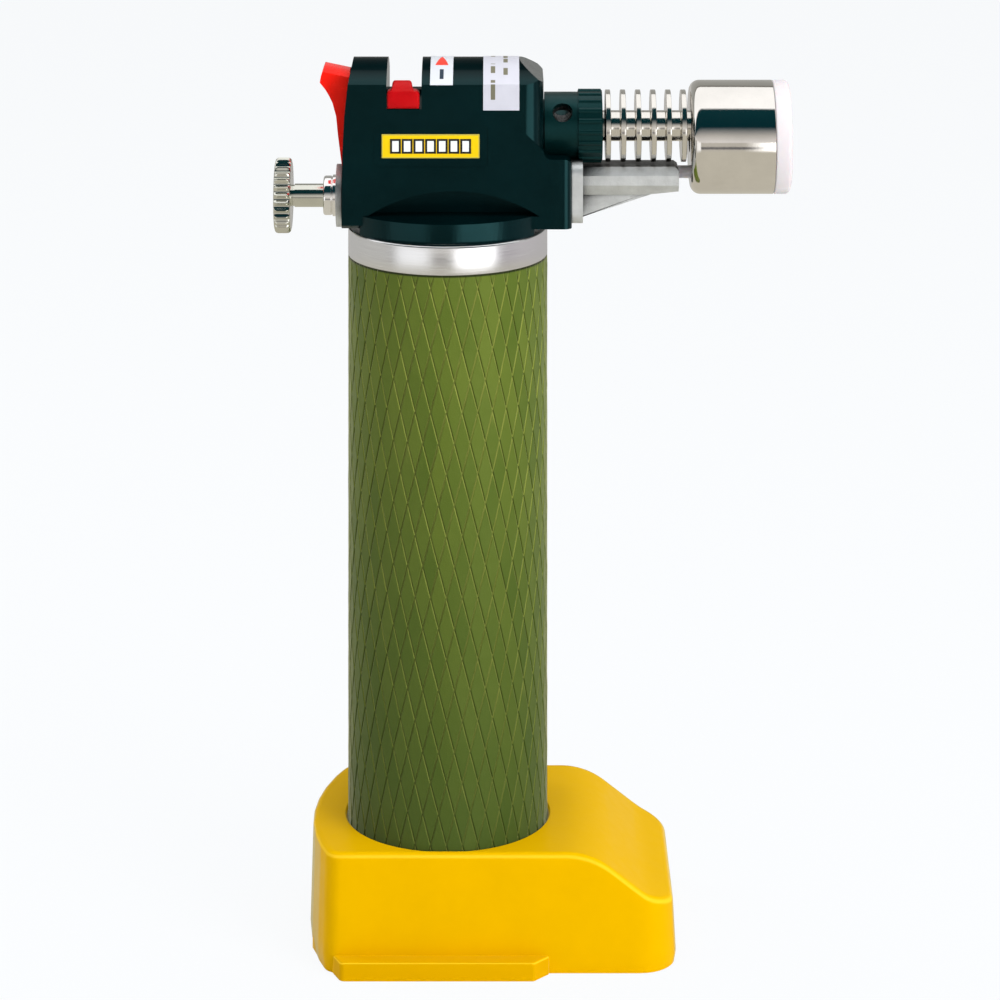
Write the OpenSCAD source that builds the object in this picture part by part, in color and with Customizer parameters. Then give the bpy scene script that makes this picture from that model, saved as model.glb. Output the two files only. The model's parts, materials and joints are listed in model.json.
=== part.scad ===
// Hand-held butane torch with piezo ignition, standing in its moulded base.
// Origin: on the axis of the fuel tank, on the ground. +X points along the flame, +Z is up.

/* [Stand] */
// Height of the stand's flat deck
stand_h = 22; // [20:0.5:26]
// How far the stand reaches behind the tank's axis, away from the name plate
stand_rear_y = 24.4; // [22:0.1:26]
// How far the stand reaches under the nozzle
stand_toe_x = 42.9; // [41.5:0.1:50]
// Height at which the torch's foot rests in the stand
torch_z = 9; // [8:0.5:12]

/* [Tank and grip] */
// Radius over the grip sleeve
grip_r = 19; // [19:0.1:20]
// Wall of the grip sleeve
grip_wall = 0.9; // [0.6:0.1:1]

/* [Head] */
// Half of the head's depth from front to back
head_half_y = 10; // [9.8:0.1:10.4]
// Wall of the two housing shells
head_wall = 1.6; // [1.4:0.1:1.8]
// Radius of the arched roof
roof_r = 16.6; // [16:0.1:17.4]

/* [Burner] */
// Radius of the nozzle shroud
shroud_r = 10.7; // [10.4:0.1:11.2]
// Number of cooling fins on the burner tube
fins = 6; // [4:1:6]
// Number of grip ribs on the air sleeve
sleeve_ribs = 20; // [16:2:26]

/* [Gas knob] */
// Radius of the gas knob
knob_r = 7.1; // [6.5:0.1:8]
// Number of flutes round the gas knob
knob_flutes = 30; // [20:2:36]

/* [Hidden] */
$fn = 72;
eps = 0.01;

// Stand
stand_wall = 2.4;
stand_front_y = -20.9;
stand_draft = 0.6;
stand_side_r = 55.4;
stand_side_x = 29.2;
stand_toe_z = 13;
socket_r = grip_r + 0.2;
rib_w = 2;
lip_h = 3.4;
lip_y = -24;
ramp_x = 22;
ramp_angle = 37.5;
ramp_r = 14;
ramp_foot_r = 8;
toe_angle = 20;

// Tank
tank_top_z = 134;
tank_r = grip_r - grip_wall;
tank_bore_r = tank_r - 1;
band_z = tank_top_z - 5.4;
cap_z = tank_top_z - 4.4;
plate_z = torch_z + 2;
seal_z = cap_z + 1.6;

// Main gas valve, which stands off the tank's axis below the trigger's finger
valve_x = -9;
valve_r = 3.6;
valve_foot_z = 117.5;
valve_floor_z = 121;
valve_chamber_z = 122.4;
valve_seat_z = 132;
valve_neck_z = 140.4;
stem_top_z = 146;

// Chassis
base_top_z = tank_top_z + 2;
bar_z0 = 137.8;
bar_z1 = 142.3;
bar_y = 4.4;
bar_half_x = 12.4;
plate_x0 = 23.55;
plate_x1 = 25.6;
bracket_x1 = 43.9;
knob_axis_z = 139.5;
lead_z = 144;
screw_at = [for (sx = [-1, 1], sy = [-1, 1]) [6.5 * sx, 6.8 * sy]];

// Burner and shroud
burner_z = 152.8;
boss_r = 5;
shroud_z = 150.7;
shroud_x0 = 46.1;
shroud_x1 = 61.9;
nozzle_x1 = 65.1;
air_hole_x = 21.8;
air_hole_r = 1.9;
air_hole_angle = 34;

// Housing
head_x0 = -19.85;
head_x1 = 18.2;
lobe_x1 = 23.5;
head_z0 = 135.2;
lobe_top_z = 148.3;
roof_z = 165.75;
roof_axis_z = roof_z - roof_r;
foot_front_y = 17;
foot_arc_r = 21.5;
foot_half_x = 16.4;
foot_bore_r = 13.3;
scoop_depth = 4;
scoop_wall = 1.1;
panel_depth = 0.2;
foot_top_z = 137.6;
channel_x0 = -11.4;
channel_x1 = -4.8;
channel_z = 157.8;
saddle_r = 6.55;
boss_at = [[2, 160, 0], [3.5, 145.8, 0], [14.5, 160.4, 0], [18.5, 140, 4.5]];

// Trigger
pivot_x = -17.4;
pivot_z = 144.4;
trigger_half_y = 5;
web_y = 3.6;
pad_x = -15.9;

// Helpers: a straight cylinder along X or Y, a block from corner to corner, a coil
module x_cyl(r, x0, x1, z, r2 = undef) {
  translate([x0, 0, z]) rotate([0, 90, 0])
    cylinder(h = x1 - x0, r1 = r, r2 = is_undef(r2) ? r : r2);
}

module y_cyl(r, y0, y1, x, z) {
  translate([x, y0, z]) rotate([-90, 0, 0]) cylinder(h = y1 - y0, r = r);
}

module z_cyl(r, z0, z1, x = 0, y = 0) {
  translate([x, y, z0]) cylinder(h = z1 - z0, r = r);
}

module block(a, b) {
  translate(a) cube(b - a);
}

module y_extrude(y0, y1) {
  translate([0, y1, 0]) rotate([90, 0, 0]) linear_extrude(y1 - y0) children();
}

module ring_z(r_in, r_out, z0, z1, x = 0) {
  difference() {
    z_cyl(r_out, z0, z1, x);
    z_cyl(r_in, z0 - 1, z1 + 1, x);
  }
}

// A compression spring as a stack of closed rings joined by two posts
module spring(r, wire, z0, z1, turns, x = 0) {
  pitch = (z1 - z0 - 2 * wire) / (turns - 1);
  translate([x, 0, 0]) {
    for (i = [0 : turns - 1])
      translate([0, 0, z0 + wire + i * pitch])
        rotate_extrude($fn = 24) translate([r, 0]) circle(wire, $fn = 14);
    for (i = [0 : turns - 2])
      rotate([0, 0, 180 * (i % 2)])
        translate([r, 0, z0 + wire + i * pitch]) cylinder(h = pitch, r = wire * 0.8, $fn = 14);
  }
}

// A round rod from one point to another, with a slightly proud ball at its end
module rod(a, b, r) {
  d = b - a;
  len = norm(d);
  translate(a) rotate([0, acos(d[2] / len), atan2(d[1], d[0])]) cylinder(h = len, r = r);
  translate(b) sphere(r * 1.06);
}

// A rectangle with its own corner radius at each end
module end_rounded(x0, x1, half_y, r0, r1) {
  translate([x0 + r0, -half_y]) square([x1 - r1 - x0 - r0, 2 * half_y]);
  translate([x0, r0 - half_y]) square([r0 + eps, 2 * (half_y - r0)]);
  translate([x1 - r1 - eps, r1 - half_y]) square([r1 + eps, 2 * (half_y - r1)]);
  for (s = [-1, 1]) {
    translate([x0 + r0, s * (half_y - r0)]) circle(r0);
    translate([x1 - r1, s * (half_y - r1)]) circle(r1);
  }
}

// ---- Stand ----

// Side outline of the stand: a flat deck that rolls over into a ramp, then a toe that falls gently
module stand_side(drop = 0) {
  roll_x = ramp_x + ramp_r * sin(ramp_angle);
  roll_z = stand_h - ramp_r * (1 - cos(ramp_angle));
  foot_x = roll_x + (roll_z - stand_toe_z) / tan(ramp_angle) + ramp_foot_r * tan(ramp_angle / 2);
  toe_x = foot_x - ramp_foot_r * sin(toe_angle);
  end_z = stand_toe_z + ramp_foot_r * (1 - cos(toe_angle)) - (60 - toe_x) * tan(toe_angle);
  polygon(concat(
    [[-40, -eps - 5 * drop], [-40, stand_h - drop]],
    [for (i = [0 : 8]) let (a = ramp_angle * i / 8)
      [ramp_x + ramp_r * sin(a), stand_h - ramp_r * (1 - cos(a)) - drop]],
    [for (i = [4 : -1 : 0]) let (a = toe_angle + (ramp_angle - toe_angle) * i / 4)
      [foot_x - ramp_foot_r * sin(a), stand_toe_z + ramp_foot_r * (1 - cos(a)) - drop]],
    [[60, end_z - drop], [60, -eps - 5 * drop]]
  ));
}

// Plan of the stand: a bowed end behind the trigger and a square one under the nozzle
module stand_plan(d) {
  y0 = stand_front_y + d;
  y1 = stand_rear_y - d;
  corner_r = 3.2 - d * 0.5;
  offset(r = corner_r) offset(delta = -corner_r) intersection() {
    translate([stand_side_x, 0]) circle(stand_side_r - d, $fn = 200);
    translate([0, (y0 + y1) / 2]) end_rounded(-40, stand_toe_x - d, (y1 - y0) / 2, 4, 7 - d);
  }
}

module stand_block(inset = 0, drop = 0) {
  intersection() {
    hull() {
      translate([0, 0, -drop]) linear_extrude(eps) stand_plan(inset, $fn = 40);
      translate([0, 0, stand_h - eps - drop]) linear_extrude(eps)
        stand_plan(inset + stand_draft, $fn = 40);
    }
    y_extrude(-40, 40) stand_side(drop);
  }
}

module stand() {
  color([0.93, 0.72, 0.02]) difference() {
    union() {
      difference() {
        stand_block();
        difference() {
          translate([0, 0, -eps]) stand_block(stand_wall, stand_wall);
          z_cyl(socket_r + 1.4, torch_z - stand_wall, stand_h + 1);
          // ribs that cross under the socket and reach the ground
          block([-40, -rib_w / 2, 0], [60, rib_w / 2, torch_z]);
          block([-rib_w / 2, -40, 0], [rib_w / 2, 40, torch_z]);
        }
      }
      // step along the front, which runs out into the bowed end
      linear_extrude(lip_h) polygon([
        [-24.6, -9.5], [-25.35, -9.5], [-24.1, -13.3], [-19.4, lip_y], [16.2, lip_y],
        [19, stand_front_y - 0.2], [19, -18.9], [-20, -18.9],
      ]);
    }
    z_cyl(socket_r, torch_z, stand_h + 1);
  }
}

// ---- Tank, sleeve and fill valve ----

module grip_sleeve() {
  color([0.38, 0.47, 0.18]) ring_z(tank_r, grip_r, torch_z + 0.3, band_z);
}

// Drawn can: bright band at the top, standing rim and sunk floor at the bottom
module tank() {
  color([0.82, 0.83, 0.84]) rotate_extrude() polygon([
    [3.2, plate_z], [tank_bore_r - 2.5, plate_z], [tank_bore_r - 1.5, torch_z], [tank_r, torch_z],
    [tank_r, band_z], [grip_r, band_z], [grip_r, tank_top_z - 0.3], [grip_r - 0.3, tank_top_z],
    [tank_bore_r, tank_top_z], [tank_bore_r, plate_z + 1.6], [3.2, plate_z + 1.6],
  ]);
}

module tank_cap() {
  color([0.70, 0.71, 0.72]) difference() {
    z_cyl(tank_bore_r - 0.02, cap_z, tank_top_z);
    ring_z(tank_bore_r - 1.2, tank_bore_r + 1, seal_z - 0.65, seal_z + 0.65);
    z_cyl(valve_r + 0.02, cap_z - 1, tank_top_z + 1, valve_x);
    for (p = screw_at) z_cyl(1.25, cap_z - 1, tank_top_z + 1, p[0], p[1]);
  }
}

module tank_seal() {
  color([0.08, 0.08, 0.08]) rotate_extrude()
    translate([tank_bore_r - 0.6, seal_z]) circle(0.57, $fn = 20);
}

module fill_valve_body() {
  color([0.80, 0.62, 0.27]) difference() {
    union() {
      z_cyl(4.6, plate_z - 1.2, plate_z);
      z_cyl(3.18, plate_z - eps, plate_z + 9);
    }
    z_cyl(1.2, torch_z, plate_z + 4);
    z_cyl(2.2, plate_z + 3, plate_z + 7.6);
    z_cyl(0.8, plate_z + 7, plate_z + 10);
  }
}

module fill_valve_gasket() {
  color([0.10, 0.10, 0.10]) ring_z(1.2, 2.15, plate_z + 3, plate_z + 3.6);
}

module fill_valve_spring() {
  color([0.75, 0.76, 0.78]) spring(1.5, 0.22, plate_z + 4.75, plate_z + 7.55, 4);
}

module fill_valve_stem() {
  color([0.83, 0.66, 0.30]) {
    z_cyl(1.12, plate_z - 1.1, plate_z + 3.75);
    z_cyl(1.9, plate_z + 3.7, plate_z + 4.7);
  }
}

// ---- Main gas valve ----

module gas_valve_body() {
  color([0.80, 0.62, 0.27]) difference() {
    union() {
      z_cyl(valve_r, valve_foot_z, base_top_z, valve_x);
      z_cyl(2.6, base_top_z - eps, valve_neck_z, valve_x);
    }
    z_cyl(2.6, valve_foot_z - 1, valve_floor_z, valve_x);
    z_cyl(0.8, valve_floor_z - 1, valve_chamber_z + 1, valve_x);
    z_cyl(2.6, valve_chamber_z, valve_seat_z, valve_x);
    z_cyl(1.1, valve_seat_z - 1, valve_neck_z + 1, valve_x);
    x_cyl(0.5, valve_x - 4, valve_x + 4, knob_axis_z);
  }
}

module gas_filter() {
  color([0.72, 0.66, 0.55]) z_cyl(2.57, valve_foot_z + 0.3, valve_floor_z - 0.02, valve_x);
}

module gas_valve_gasket() {
  color([0.10, 0.10, 0.10]) ring_z(1.1, 2.55, valve_seat_z - 0.9, valve_seat_z, valve_x);
}

module gas_valve_spring() {
  color([0.75, 0.76, 0.78]) spring(1.8, 0.28, valve_chamber_z + 0.05, 129.75, 7, valve_x);
}

module gas_valve_stem() {
  color([0.83, 0.66, 0.30]) {
    z_cyl(0.9, 130, stem_top_z, valve_x);
    z_cyl(2.3, 129.8, valve_seat_z - 0.95, valve_x);
  }
}

// ---- Chassis, die cast ----

// The bracket that carries the electrode out to the shroud
module bracket() {
  section = [
    [-3.2, 145.6], [-4.6, 144.1], [-4.6, 142.3], [-2.4, 140.1],
    [2.4, 140.1], [4.6, 142.3], [4.6, 144.1], [3.2, 145.6],
  ];
  intersection() {
    translate([25, 0, 0]) rotate([90, 0, 90]) linear_extrude(bracket_x1 - 25) polygon(section);
    y_extrude(-6, 6) polygon([
      [25, 139], [36, 139.9], [bracket_x1, 140.9], [bracket_x1, 145],
      [bracket_x1 - 0.7, 145.6], [25, 145.6],
    ]);
  }
  y_extrude(-1.2, 1.2) polygon([[25, 135.4], [39.5, 140.2], [39.5, 141], [25, 141]]);
}

// The plate that closes the head at the flame end
module end_plate() {
  translate([plate_x0, 0, 141.4]) rotate([90, 0, 90]) linear_extrude(plate_x1 - plate_x0)
    end_rounded(-8.6, 8.6, 5.8, 2.4, 2.4);
}

module chassis() {
  color([0.72, 0.74, 0.74]) difference() {
    union() {
      z_cyl(13, tank_top_z, base_top_z);
      block([-bar_half_x, -bar_y, base_top_z - 0.1], [bar_half_x, bar_y, bar_z1]);
      block([-20.3, -bar_y, bar_z0], [23.8, bar_y, bar_z1]);
      block([-20.3, -bar_y, 136.9], [-17.3, bar_y, bar_z1]);
      x_cyl(5.9, -21.2, -20.1, knob_axis_z);
      block([12.2, -3.4, bar_z1 - 0.1], [16.4, 3.4, 150]);
      x_cyl(boss_r, 12.2, 25.4, burner_z);
      difference() {
        end_plate();
        x_cyl(7.15, 23, 26, burner_z);
      }
      bracket();
    }
    // bores of the gas valve and its stem
    z_cyl(valve_r + 0.05, tank_top_z - 1, base_top_z + 0.05, valve_x);
    z_cyl(2.65, base_top_z - 0.5, 140.5, valve_x);
    z_cyl(1, 140, 143, valve_x);
    // regulator bore, seal pocket and gas passages
    x_cyl(3.02, -22, -20.2, knob_axis_z);
    x_cyl(2.3, -21, -18.6, knob_axis_z);
    x_cyl(1.55, -19, -14.4, knob_axis_z);
    x_cyl(0.5, -15, -11, knob_axis_z);
    x_cyl(0.8, -7, 10, knob_axis_z);
    z_cyl(1.15, knob_axis_z, 143, 10);
    // jet thread and mixing chamber with its two air holes
    x_cyl(2.52, 12, 16.6, burner_z);
    x_cyl(3.5, 16.5, 26, burner_z);
    for (s = [0, 1]) mirror([0, s, 0]) air_hole(9);
    // screw holes, and the bore of the electrode's insulator
    for (p = screw_at) z_cyl(1.55, tank_top_z - 1, base_top_z + 1, p[0], p[1]);
    y_cyl(1.6, -6, 6, boss_at[3][0], boss_at[3][1]);
    x_cyl(1.25, 22, 45, lead_z);
  }
}

// A hole from the burner axis out through one side, a little above the level
module air_hole(length) {
  translate([air_hole_x, 0, burner_z]) rotate([90 - air_hole_angle, 0, 0])
    cylinder(h = length, r = air_hole_r);
}

module chassis_screws() {
  color([0.78, 0.79, 0.80]) for (p = screw_at) difference() {
    union() {
      z_cyl(1.22, cap_z + 0.2, base_top_z, p[0], p[1]);
      z_cyl(2.2, base_top_z, base_top_z + 0.9, p[0], p[1]);
    }
    translate([p[0], p[1], base_top_z + 0.4]) cylinder(h = 2, r = 1.1, $fn = 6);
  }
}

// ---- Gas regulator and knob ----

module collar_nut() {
  color([0.85, 0.85, 0.84]) difference() {
    union() {
      x_cyl(3.9, -23.7, -21.2, knob_axis_z);
      x_cyl(3, -21.3, -20.2, knob_axis_z);
    }
    x_cyl(2.25, -25, -20, knob_axis_z);
  }
}

module spindle_seal() {
  color([0.08, 0.08, 0.08]) translate([-19.4, 0, knob_axis_z]) rotate([0, 90, 0])
    rotate_extrude() translate([1.91, 0]) circle(0.36, $fn = 20);
}

module regulator_spindle() {
  color([0.85, 0.85, 0.84]) {
    x_cyl(2, -32, -29.5, knob_axis_z);
    x_cyl(2.2, -29.6, -20.3, knob_axis_z);
    x_cyl(1.5, -20.4, -15.4, knob_axis_z);
    x_cyl(1.5, -15.4, -14.45, knob_axis_z, r2 = 0.5);
  }
}

module gas_knob() {
  flute_r = knob_r * PI / knob_flutes * 0.62;
  color([0.85, 0.85, 0.84]) difference() {
    union() {
      x_cyl(knob_r - 0.35, -32.95, -29.8, knob_axis_z);
      for (i = [0 : knob_flutes - 1]) translate([-32.65, 0, knob_axis_z])
        rotate([i * 360 / knob_flutes, 0, 0]) translate([0, 0, knob_r - flute_r])
          rotate([0, 90, 0]) cylinder(h = 2.55, r = flute_r, $fn = 16);
    }
    x_cyl(2.02, -32.1, -29, knob_axis_z);
  }
}

// ---- Housing ----

// Side outline of the upper head, with its slope down at the flame end
module head_side() {
  polygon([
    [head_x0, head_z0], [-19.7, 149.3], [-19.33, 156.5], [-18.7, 162.4], [-18, 165.8], [-17.6, 170],
    [7.8, 170], [head_x1, 162.4], [head_x1, head_z0],
  ]);
}

module head_solid(inset = 0) {
  y = head_half_y - inset;
  intersection() {
    y_extrude(-y, y) offset(delta = -inset) head_side();
    x_cyl(roof_r - inset, -30, 30, roof_axis_z, $fn = 160);
    translate([0, 0, 130]) linear_extrude(50) end_rounded(-25, head_x1 - inset, y, 1, 3.5 - inset * 0.6);
  }
}

// The lower lobe reaches out below the burner; its top is filleted and sloped into the end wall
module lobe_side(r) {
  polygon(concat(
    [[0, head_z0], [lobe_x1, head_z0]],
    [for (a = [0 : 15 : 90]) [lobe_x1 - r + r * cos(a), lobe_top_z - r + r * sin(a)]],
    [for (a = [0 : 15 : 90]) [head_x1 + r - r * sin(a), lobe_top_z + r - r * cos(a)]],
    [[head_x1 - 3.4, lobe_top_z + r + 3.4], [0, lobe_top_z + r + 3.4]]
  ));
}

module lobe_solid(inset = 0) {
  y = head_half_y - inset;
  intersection() {
    y_extrude(-y, y) offset(delta = -inset) lobe_side(1.5);
    translate([0, 0, 130]) linear_extrude(50) end_rounded(-2, lobe_x1 - inset, y, 0.5, 1.5 - inset * 0.6);
  }
}

// Thumb scoop above the foot, cut into the face by a wide shallow arch; grow gives its liner
module scoop(grow = 0) {
  intersection() {
    y_cyl(29.9 + grow, -head_half_y - 8, -head_half_y + scoop_depth + grow, 1.2, 112.5, $fn = 160);
    block([-30, -30, foot_top_z - grow * 0.4], [30, 0, 160]);
  }
}

module head_cavity() {
  difference() {
    union() {
      head_solid(head_wall);
      lobe_solid(head_wall);
    }
    block([channel_x0 - 1.2, -20, channel_z - 1.4], [channel_x1 + 1.2, 20, 170]);
    x_cyl(saddle_r + 0.85, head_x1 - head_wall, 30, burner_z);
    for (s = [0, 1]) mirror([0, s, 0]) scoop(scoop_wall);
    for (b = boss_at, s = [0, 1]) mirror([0, s, 0]) y_cyl(2.2, b[2], 12, b[0], b[1]);
    for (s = [0, 1]) mirror([0, s, 0]) y_cyl(1.95, trigger_half_y + 0.3, 12, pivot_x, pivot_z);
  }
}

// Foot of the head: an arc at the front and the rear between two flat ends
module foot() {
  intersection() {
    z_cyl(foot_arc_r, tank_top_z, foot_top_z, 0, foot_arc_r - foot_front_y);
    z_cyl(foot_arc_r, tank_top_z, foot_top_z, 0, foot_front_y - foot_arc_r);
    block([-foot_half_x, -20, 130], [foot_half_x, 20, 140]);
  }
}

// Shallow panel round the name plate
module panel() {
  y_extrude(-head_half_y - 1, -head_half_y + panel_depth) translate([0, 150.85])
    end_rounded(-13.9, 7.7, 3.95, 1, 1);
}

module head_openings() {
  // slider channel with a stop at its far end, and the slot its foot runs in
  block([channel_x0, -20, channel_z], [channel_x1, 7, 170]);
  block([channel_x0, 6.9, channel_z + 0.65], [channel_x1, 20, 170]);
  block([-8.6, -8.3, 155.3], [-7, 5.2, channel_z + 1]);
  // trigger slot: through the end wall, with the roof relieved above it
  intersection() {
    block([-22, -trigger_half_y - 0.3, 136.8], [channel_x0 - 1.4, trigger_half_y + 0.3, 170]);
    x_cyl(roof_r - 0.55, -30, 30, roof_axis_z, $fn = 160);
  }
  // burner boss, air sleeve saddle, chassis bar and insulator
  x_cyl(boss_r + 0.1, 10, 30, burner_z);
  x_cyl(saddle_r, head_x1, 30, burner_z);
  block([16, -bar_y - 0.1, bar_z0 - 0.1], [30, bar_y + 0.1, bar_z1 + 0.1]);
  x_cyl(1.3, 18, 30, lead_z);
  // room in the foot for the chassis plate and its screws
  z_cyl(foot_bore_r, 130, base_top_z + 0.1);
  intersection() {
    z_cyl(foot_bore_r, 130, foot_top_z - 0.6);
    block([-20, -9.2, 130], [20, 9.2, 140]);
  }
  for (s = [0, 1]) mirror([0, s, 0]) scoop();
  y_cyl(0.8, -head_half_y + head_wall, head_half_y - head_wall, pivot_x, pivot_z);
}

module housing() {
  difference() {
    union() {
      head_solid();
      lobe_solid();
      foot();
    }
    head_cavity();
    head_openings();
  }
}

module housing_front() {
  color([0.02, 0.09, 0.10]) difference() {
    intersection() {
      housing();
      block([-40, -40, 120], [40, -0.01, 180]);
    }
    panel();
    for (b = boss_at) y_cyl(1.02, -7.5, 1, b[0], b[1]);
  }
}

module housing_rear() {
  color([0.02, 0.09, 0.10]) difference() {
    intersection() {
      housing();
      block([-40, 0.01, 120], [40, 40, 180]);
    }
    for (b = boss_at) {
      y_cyl(1.1, -1, 12, b[0], b[1]);
      y_cyl(2, head_half_y - 1.8, 12, b[0], b[1]);
    }
  }
}

module housing_screws() {
  color([0.30, 0.31, 0.32]) for (b = boss_at) difference() {
    union() {
      y_cyl(1, -7, 8.3, b[0], b[1]);
      y_cyl(1.9, 8.25, 9.6, b[0], b[1]);
    }
    y_cyl(0.9, 8.8, 12, b[0], b[1], $fn = 6);
  }
}

// ---- Plates and labels ----

module name_plate() {
  color([0.95, 0.80, 0.05])
    block([-12.3, -head_half_y + panel_depth - 0.3, 148.6], [6.1, -head_half_y + panel_depth, 153.1]);
}

// A strip of film lying on the roof between two places along X
module roof_film(x0, x1) {
  intersection() {
    difference() {
      x_cyl(roof_r + 0.1, x0, x1, roof_axis_z, $fn = 160);
      x_cyl(roof_r, x0 - 1, x1 + 1, roof_axis_z, $fn = 160);
    }
    block([x0 - 1, -head_half_y - 0.08, 162], [x1 + 1, head_half_y, 170]);
  }
}

module lock_label() {
  color([0.95, 0.95, 0.96]) roof_film(-3.2, 1.1);
}

module notice_label() {
  color([0.90, 0.91, 0.95]) {
    roof_film(6.8, 13.6);
    block([6.8, -head_half_y - 0.1, 157.6], [13.6, -head_half_y, 162.5]);
  }
}

// ---- Trigger, lock slider and igniter ----

// The finger pad's outer skin, seen from the side
module trigger_skin_side() {
  polygon([
    [-23.4, 164.7], [-18.6, 163.7], [-18.4, 162.6], [-21.2, 162.4], [-21.6, 161], [-20.6, 158.6],
    [-19.8, 155.2], [-19.2, 151.6], [-18.8, 147.6], [-18.6, 145.6], [-20, 146.1], [-20.2, 147.6],
    [-20.75, 151.9], [-21.1, 155.5], [-21.8, 158.1], [-22.5, 159.5], [-23.1, 160.5], [-24.2, 161.9],
    [-24, 163.1],
  ]);
}

// The pad's two side webs, from under its top edge down to the pivot
module trigger_web_side() {
  polygon([
    [-18.4, 162.7], [-21.3, 162.5], [-21.7, 161], [-20.7, 158.6], [-19.9, 155.2], [-19.3, 151.6],
    [-18.9, 147.6], [-18.9, 144.4], [pad_x, 144.4], [pad_x, 153.8], [-16.8, 154.2], [-18.2, 154.2],
  ]);
}

// Everything under the sloping arched top of the finger pad
module trigger_top() {
  translate([-23.4, 0, roof_axis_z]) rotate([0, 90 + 11.8, 0]) translate([0, 0, -20])
    cylinder(h = 40, r = roof_r - 1.33, $fn = 160);
}

module trigger() {
  color([0.88, 0.08, 0.06]) difference() {
    union() {
      intersection() {
        y_extrude(-trigger_half_y, trigger_half_y) trigger_skin_side();
        trigger_top();
      }
      for (y = [-trigger_half_y, web_y]) y_extrude(y, y + trigger_half_y - web_y) trigger_web_side();
      // tooth that the lock slider's hook catches
      block([-16.8, web_y, 153.7], [-16.1, trigger_half_y, 155.5]);
      block([-16.9, -web_y - eps, pivot_z], [pad_x, web_y + eps, 153.8]);
      y_cyl(1.9, -trigger_half_y, trigger_half_y, pivot_x, pivot_z);
      // finger that presses the gas valve's stem
      block([-16.5, -1.5, 147.1], [valve_x, 1.5, 148.6]);
      y_cyl(1, -1.5, 1.5, valve_x, 147.1);
      block([valve_x - eps, -1.5, 147.1], [valve_x + 0.98, 1.5, 148]);
    }
    y_cyl(0.85, -10, 10, pivot_x, pivot_z);
  }
}

module trigger_pin() {
  color([0.80, 0.81, 0.82]) y_cyl(0.79, -8.3, 8.3, pivot_x, pivot_z);
}

module lock_slider() {
  y0 = -head_half_y - 0.2;
  y1 = -8.2;
  y2 = -7.4;
  color([0.91, 0.15, 0.10]) {
    block([channel_x0 + 0.1, y0, channel_z + 0.2], [channel_x1 - 0.4, -7.2, 161.1]);
    block([-10.3, y0 - 0.4, channel_z + 0.5], [-6.7, -7.2, 162.95]);
    // foot, arm and the hook that catches the trigger's tooth
    block([-8.4, y1, 155.6], [-7.2, y2, channel_z + 0.3]);
    block([-15.85, y1, 155.35], [-7.2, y2, 156.2]);
    block([-15.85, y1, 154.3], [-15.1, y2, 155.4]);
  }
}

module piezo_body() {
  color([0.12, 0.12, 0.13]) difference() {
    union() {
      block([-12.5, -3.4, 149.4], [6, 3.4, 154.8]);
      x_cyl(2.4, 5.9, 7.5, 152.1);
    }
    x_cyl(2.28, -13, -6.3, 152.1);
  }
}

module piezo_plunger() {
  color([0.85, 0.82, 0.72]) {
    x_cyl(2.2, -13.5, -8, 152.1);
    intersection() {
      translate([-13.5, 0, 152.1]) sphere(2.2);
      block([-16, -3, 149], [-13.4, 3, 155]);
    }
  }
}

// ---- Gas line and burner ----

module gas_tube() {
  bend = 2;
  color([0.76, 0.47, 0.30]) {
    z_cyl(1.1, 140.6, burner_z - bend, 10);
    translate([10 + bend, 0, burner_z - bend]) rotate([90, 0, 0])
      rotate_extrude(angle = 90, start = 90) translate([bend, 0]) circle(1.1, $fn = 24);
  }
}

module jet() {
  color([0.80, 0.62, 0.27]) difference() {
    union() {
      x_cyl(2.5, 12.3, 16.5, burner_z);
      x_cyl(2.9, 16.5, 18, burner_z, $fn = 6);
      x_cyl(1.6, 17.9, 19.4, burner_z, r2 = 0.9);
    }
    x_cyl(1.2, 12, 17, burner_z);
    x_cyl(0.25, 16, 20, burner_z, $fn = 16);
  }
}

// Turns on the chassis boss to open and close the two air holes
module air_sleeve() {
  color([0.05, 0.09, 0.10]) difference() {
    union() {
      x_cyl(6.4, 18.4, 24.9, burner_z);
      x_cyl(6.7, 24.8, 29.4, burner_z);
      for (i = [0 : sleeve_ribs - 1]) translate([24.9, 0, burner_z]) rotate([i * 360 / sleeve_ribs, 0, 0])
        translate([0, 0, 6.4]) rotate([0, 90, 0]) cylinder(h = 4.3, r = 0.6, $fn = 16);
    }
    x_cyl(boss_r + 0.05, 18, 27.3, burner_z);
    x_cyl(3.2, 27, 30, burner_z);
    for (s = [0, 1]) mirror([0, s, 0]) air_hole(9);
  }
}

module burner_tube() {
  pitch = 2.88;
  color([0.83, 0.81, 0.76]) difference() {
    union() {
      x_cyl(3.48, 24.1, 25.5, burner_z);
      x_cyl(boss_r, 25.42, 27.2, burner_z);
      x_cyl(2.9, 27.1, 50, burner_z);
      for (i = [0 : fins - 1]) x_cyl(6.8, 30.03 + i * pitch, 30.98 + i * pitch, burner_z);
    }
    x_cyl(2.1, 24, 51, burner_z);
  }
}

// Perforated burner head inside the shroud
module flame_holder() {
  color([0.70, 0.66, 0.58]) difference() {
    x_cyl(6.4, 48.2, 54.5, burner_z);
    x_cyl(2.92, 48, 50.05, burner_z);
    x_cyl(5.4, 50.8, 53.3, burner_z);
    x_cyl(1.8, 49, 56, burner_z);
    for (i = [0 : 9]) translate([52, 0, burner_z]) rotate([i * 36, 0, 0])
      translate([0, 0, 3.9]) rotate([0, 90, 0]) cylinder(h = 4, r = 0.7, $fn = 16);
  }
}

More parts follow.
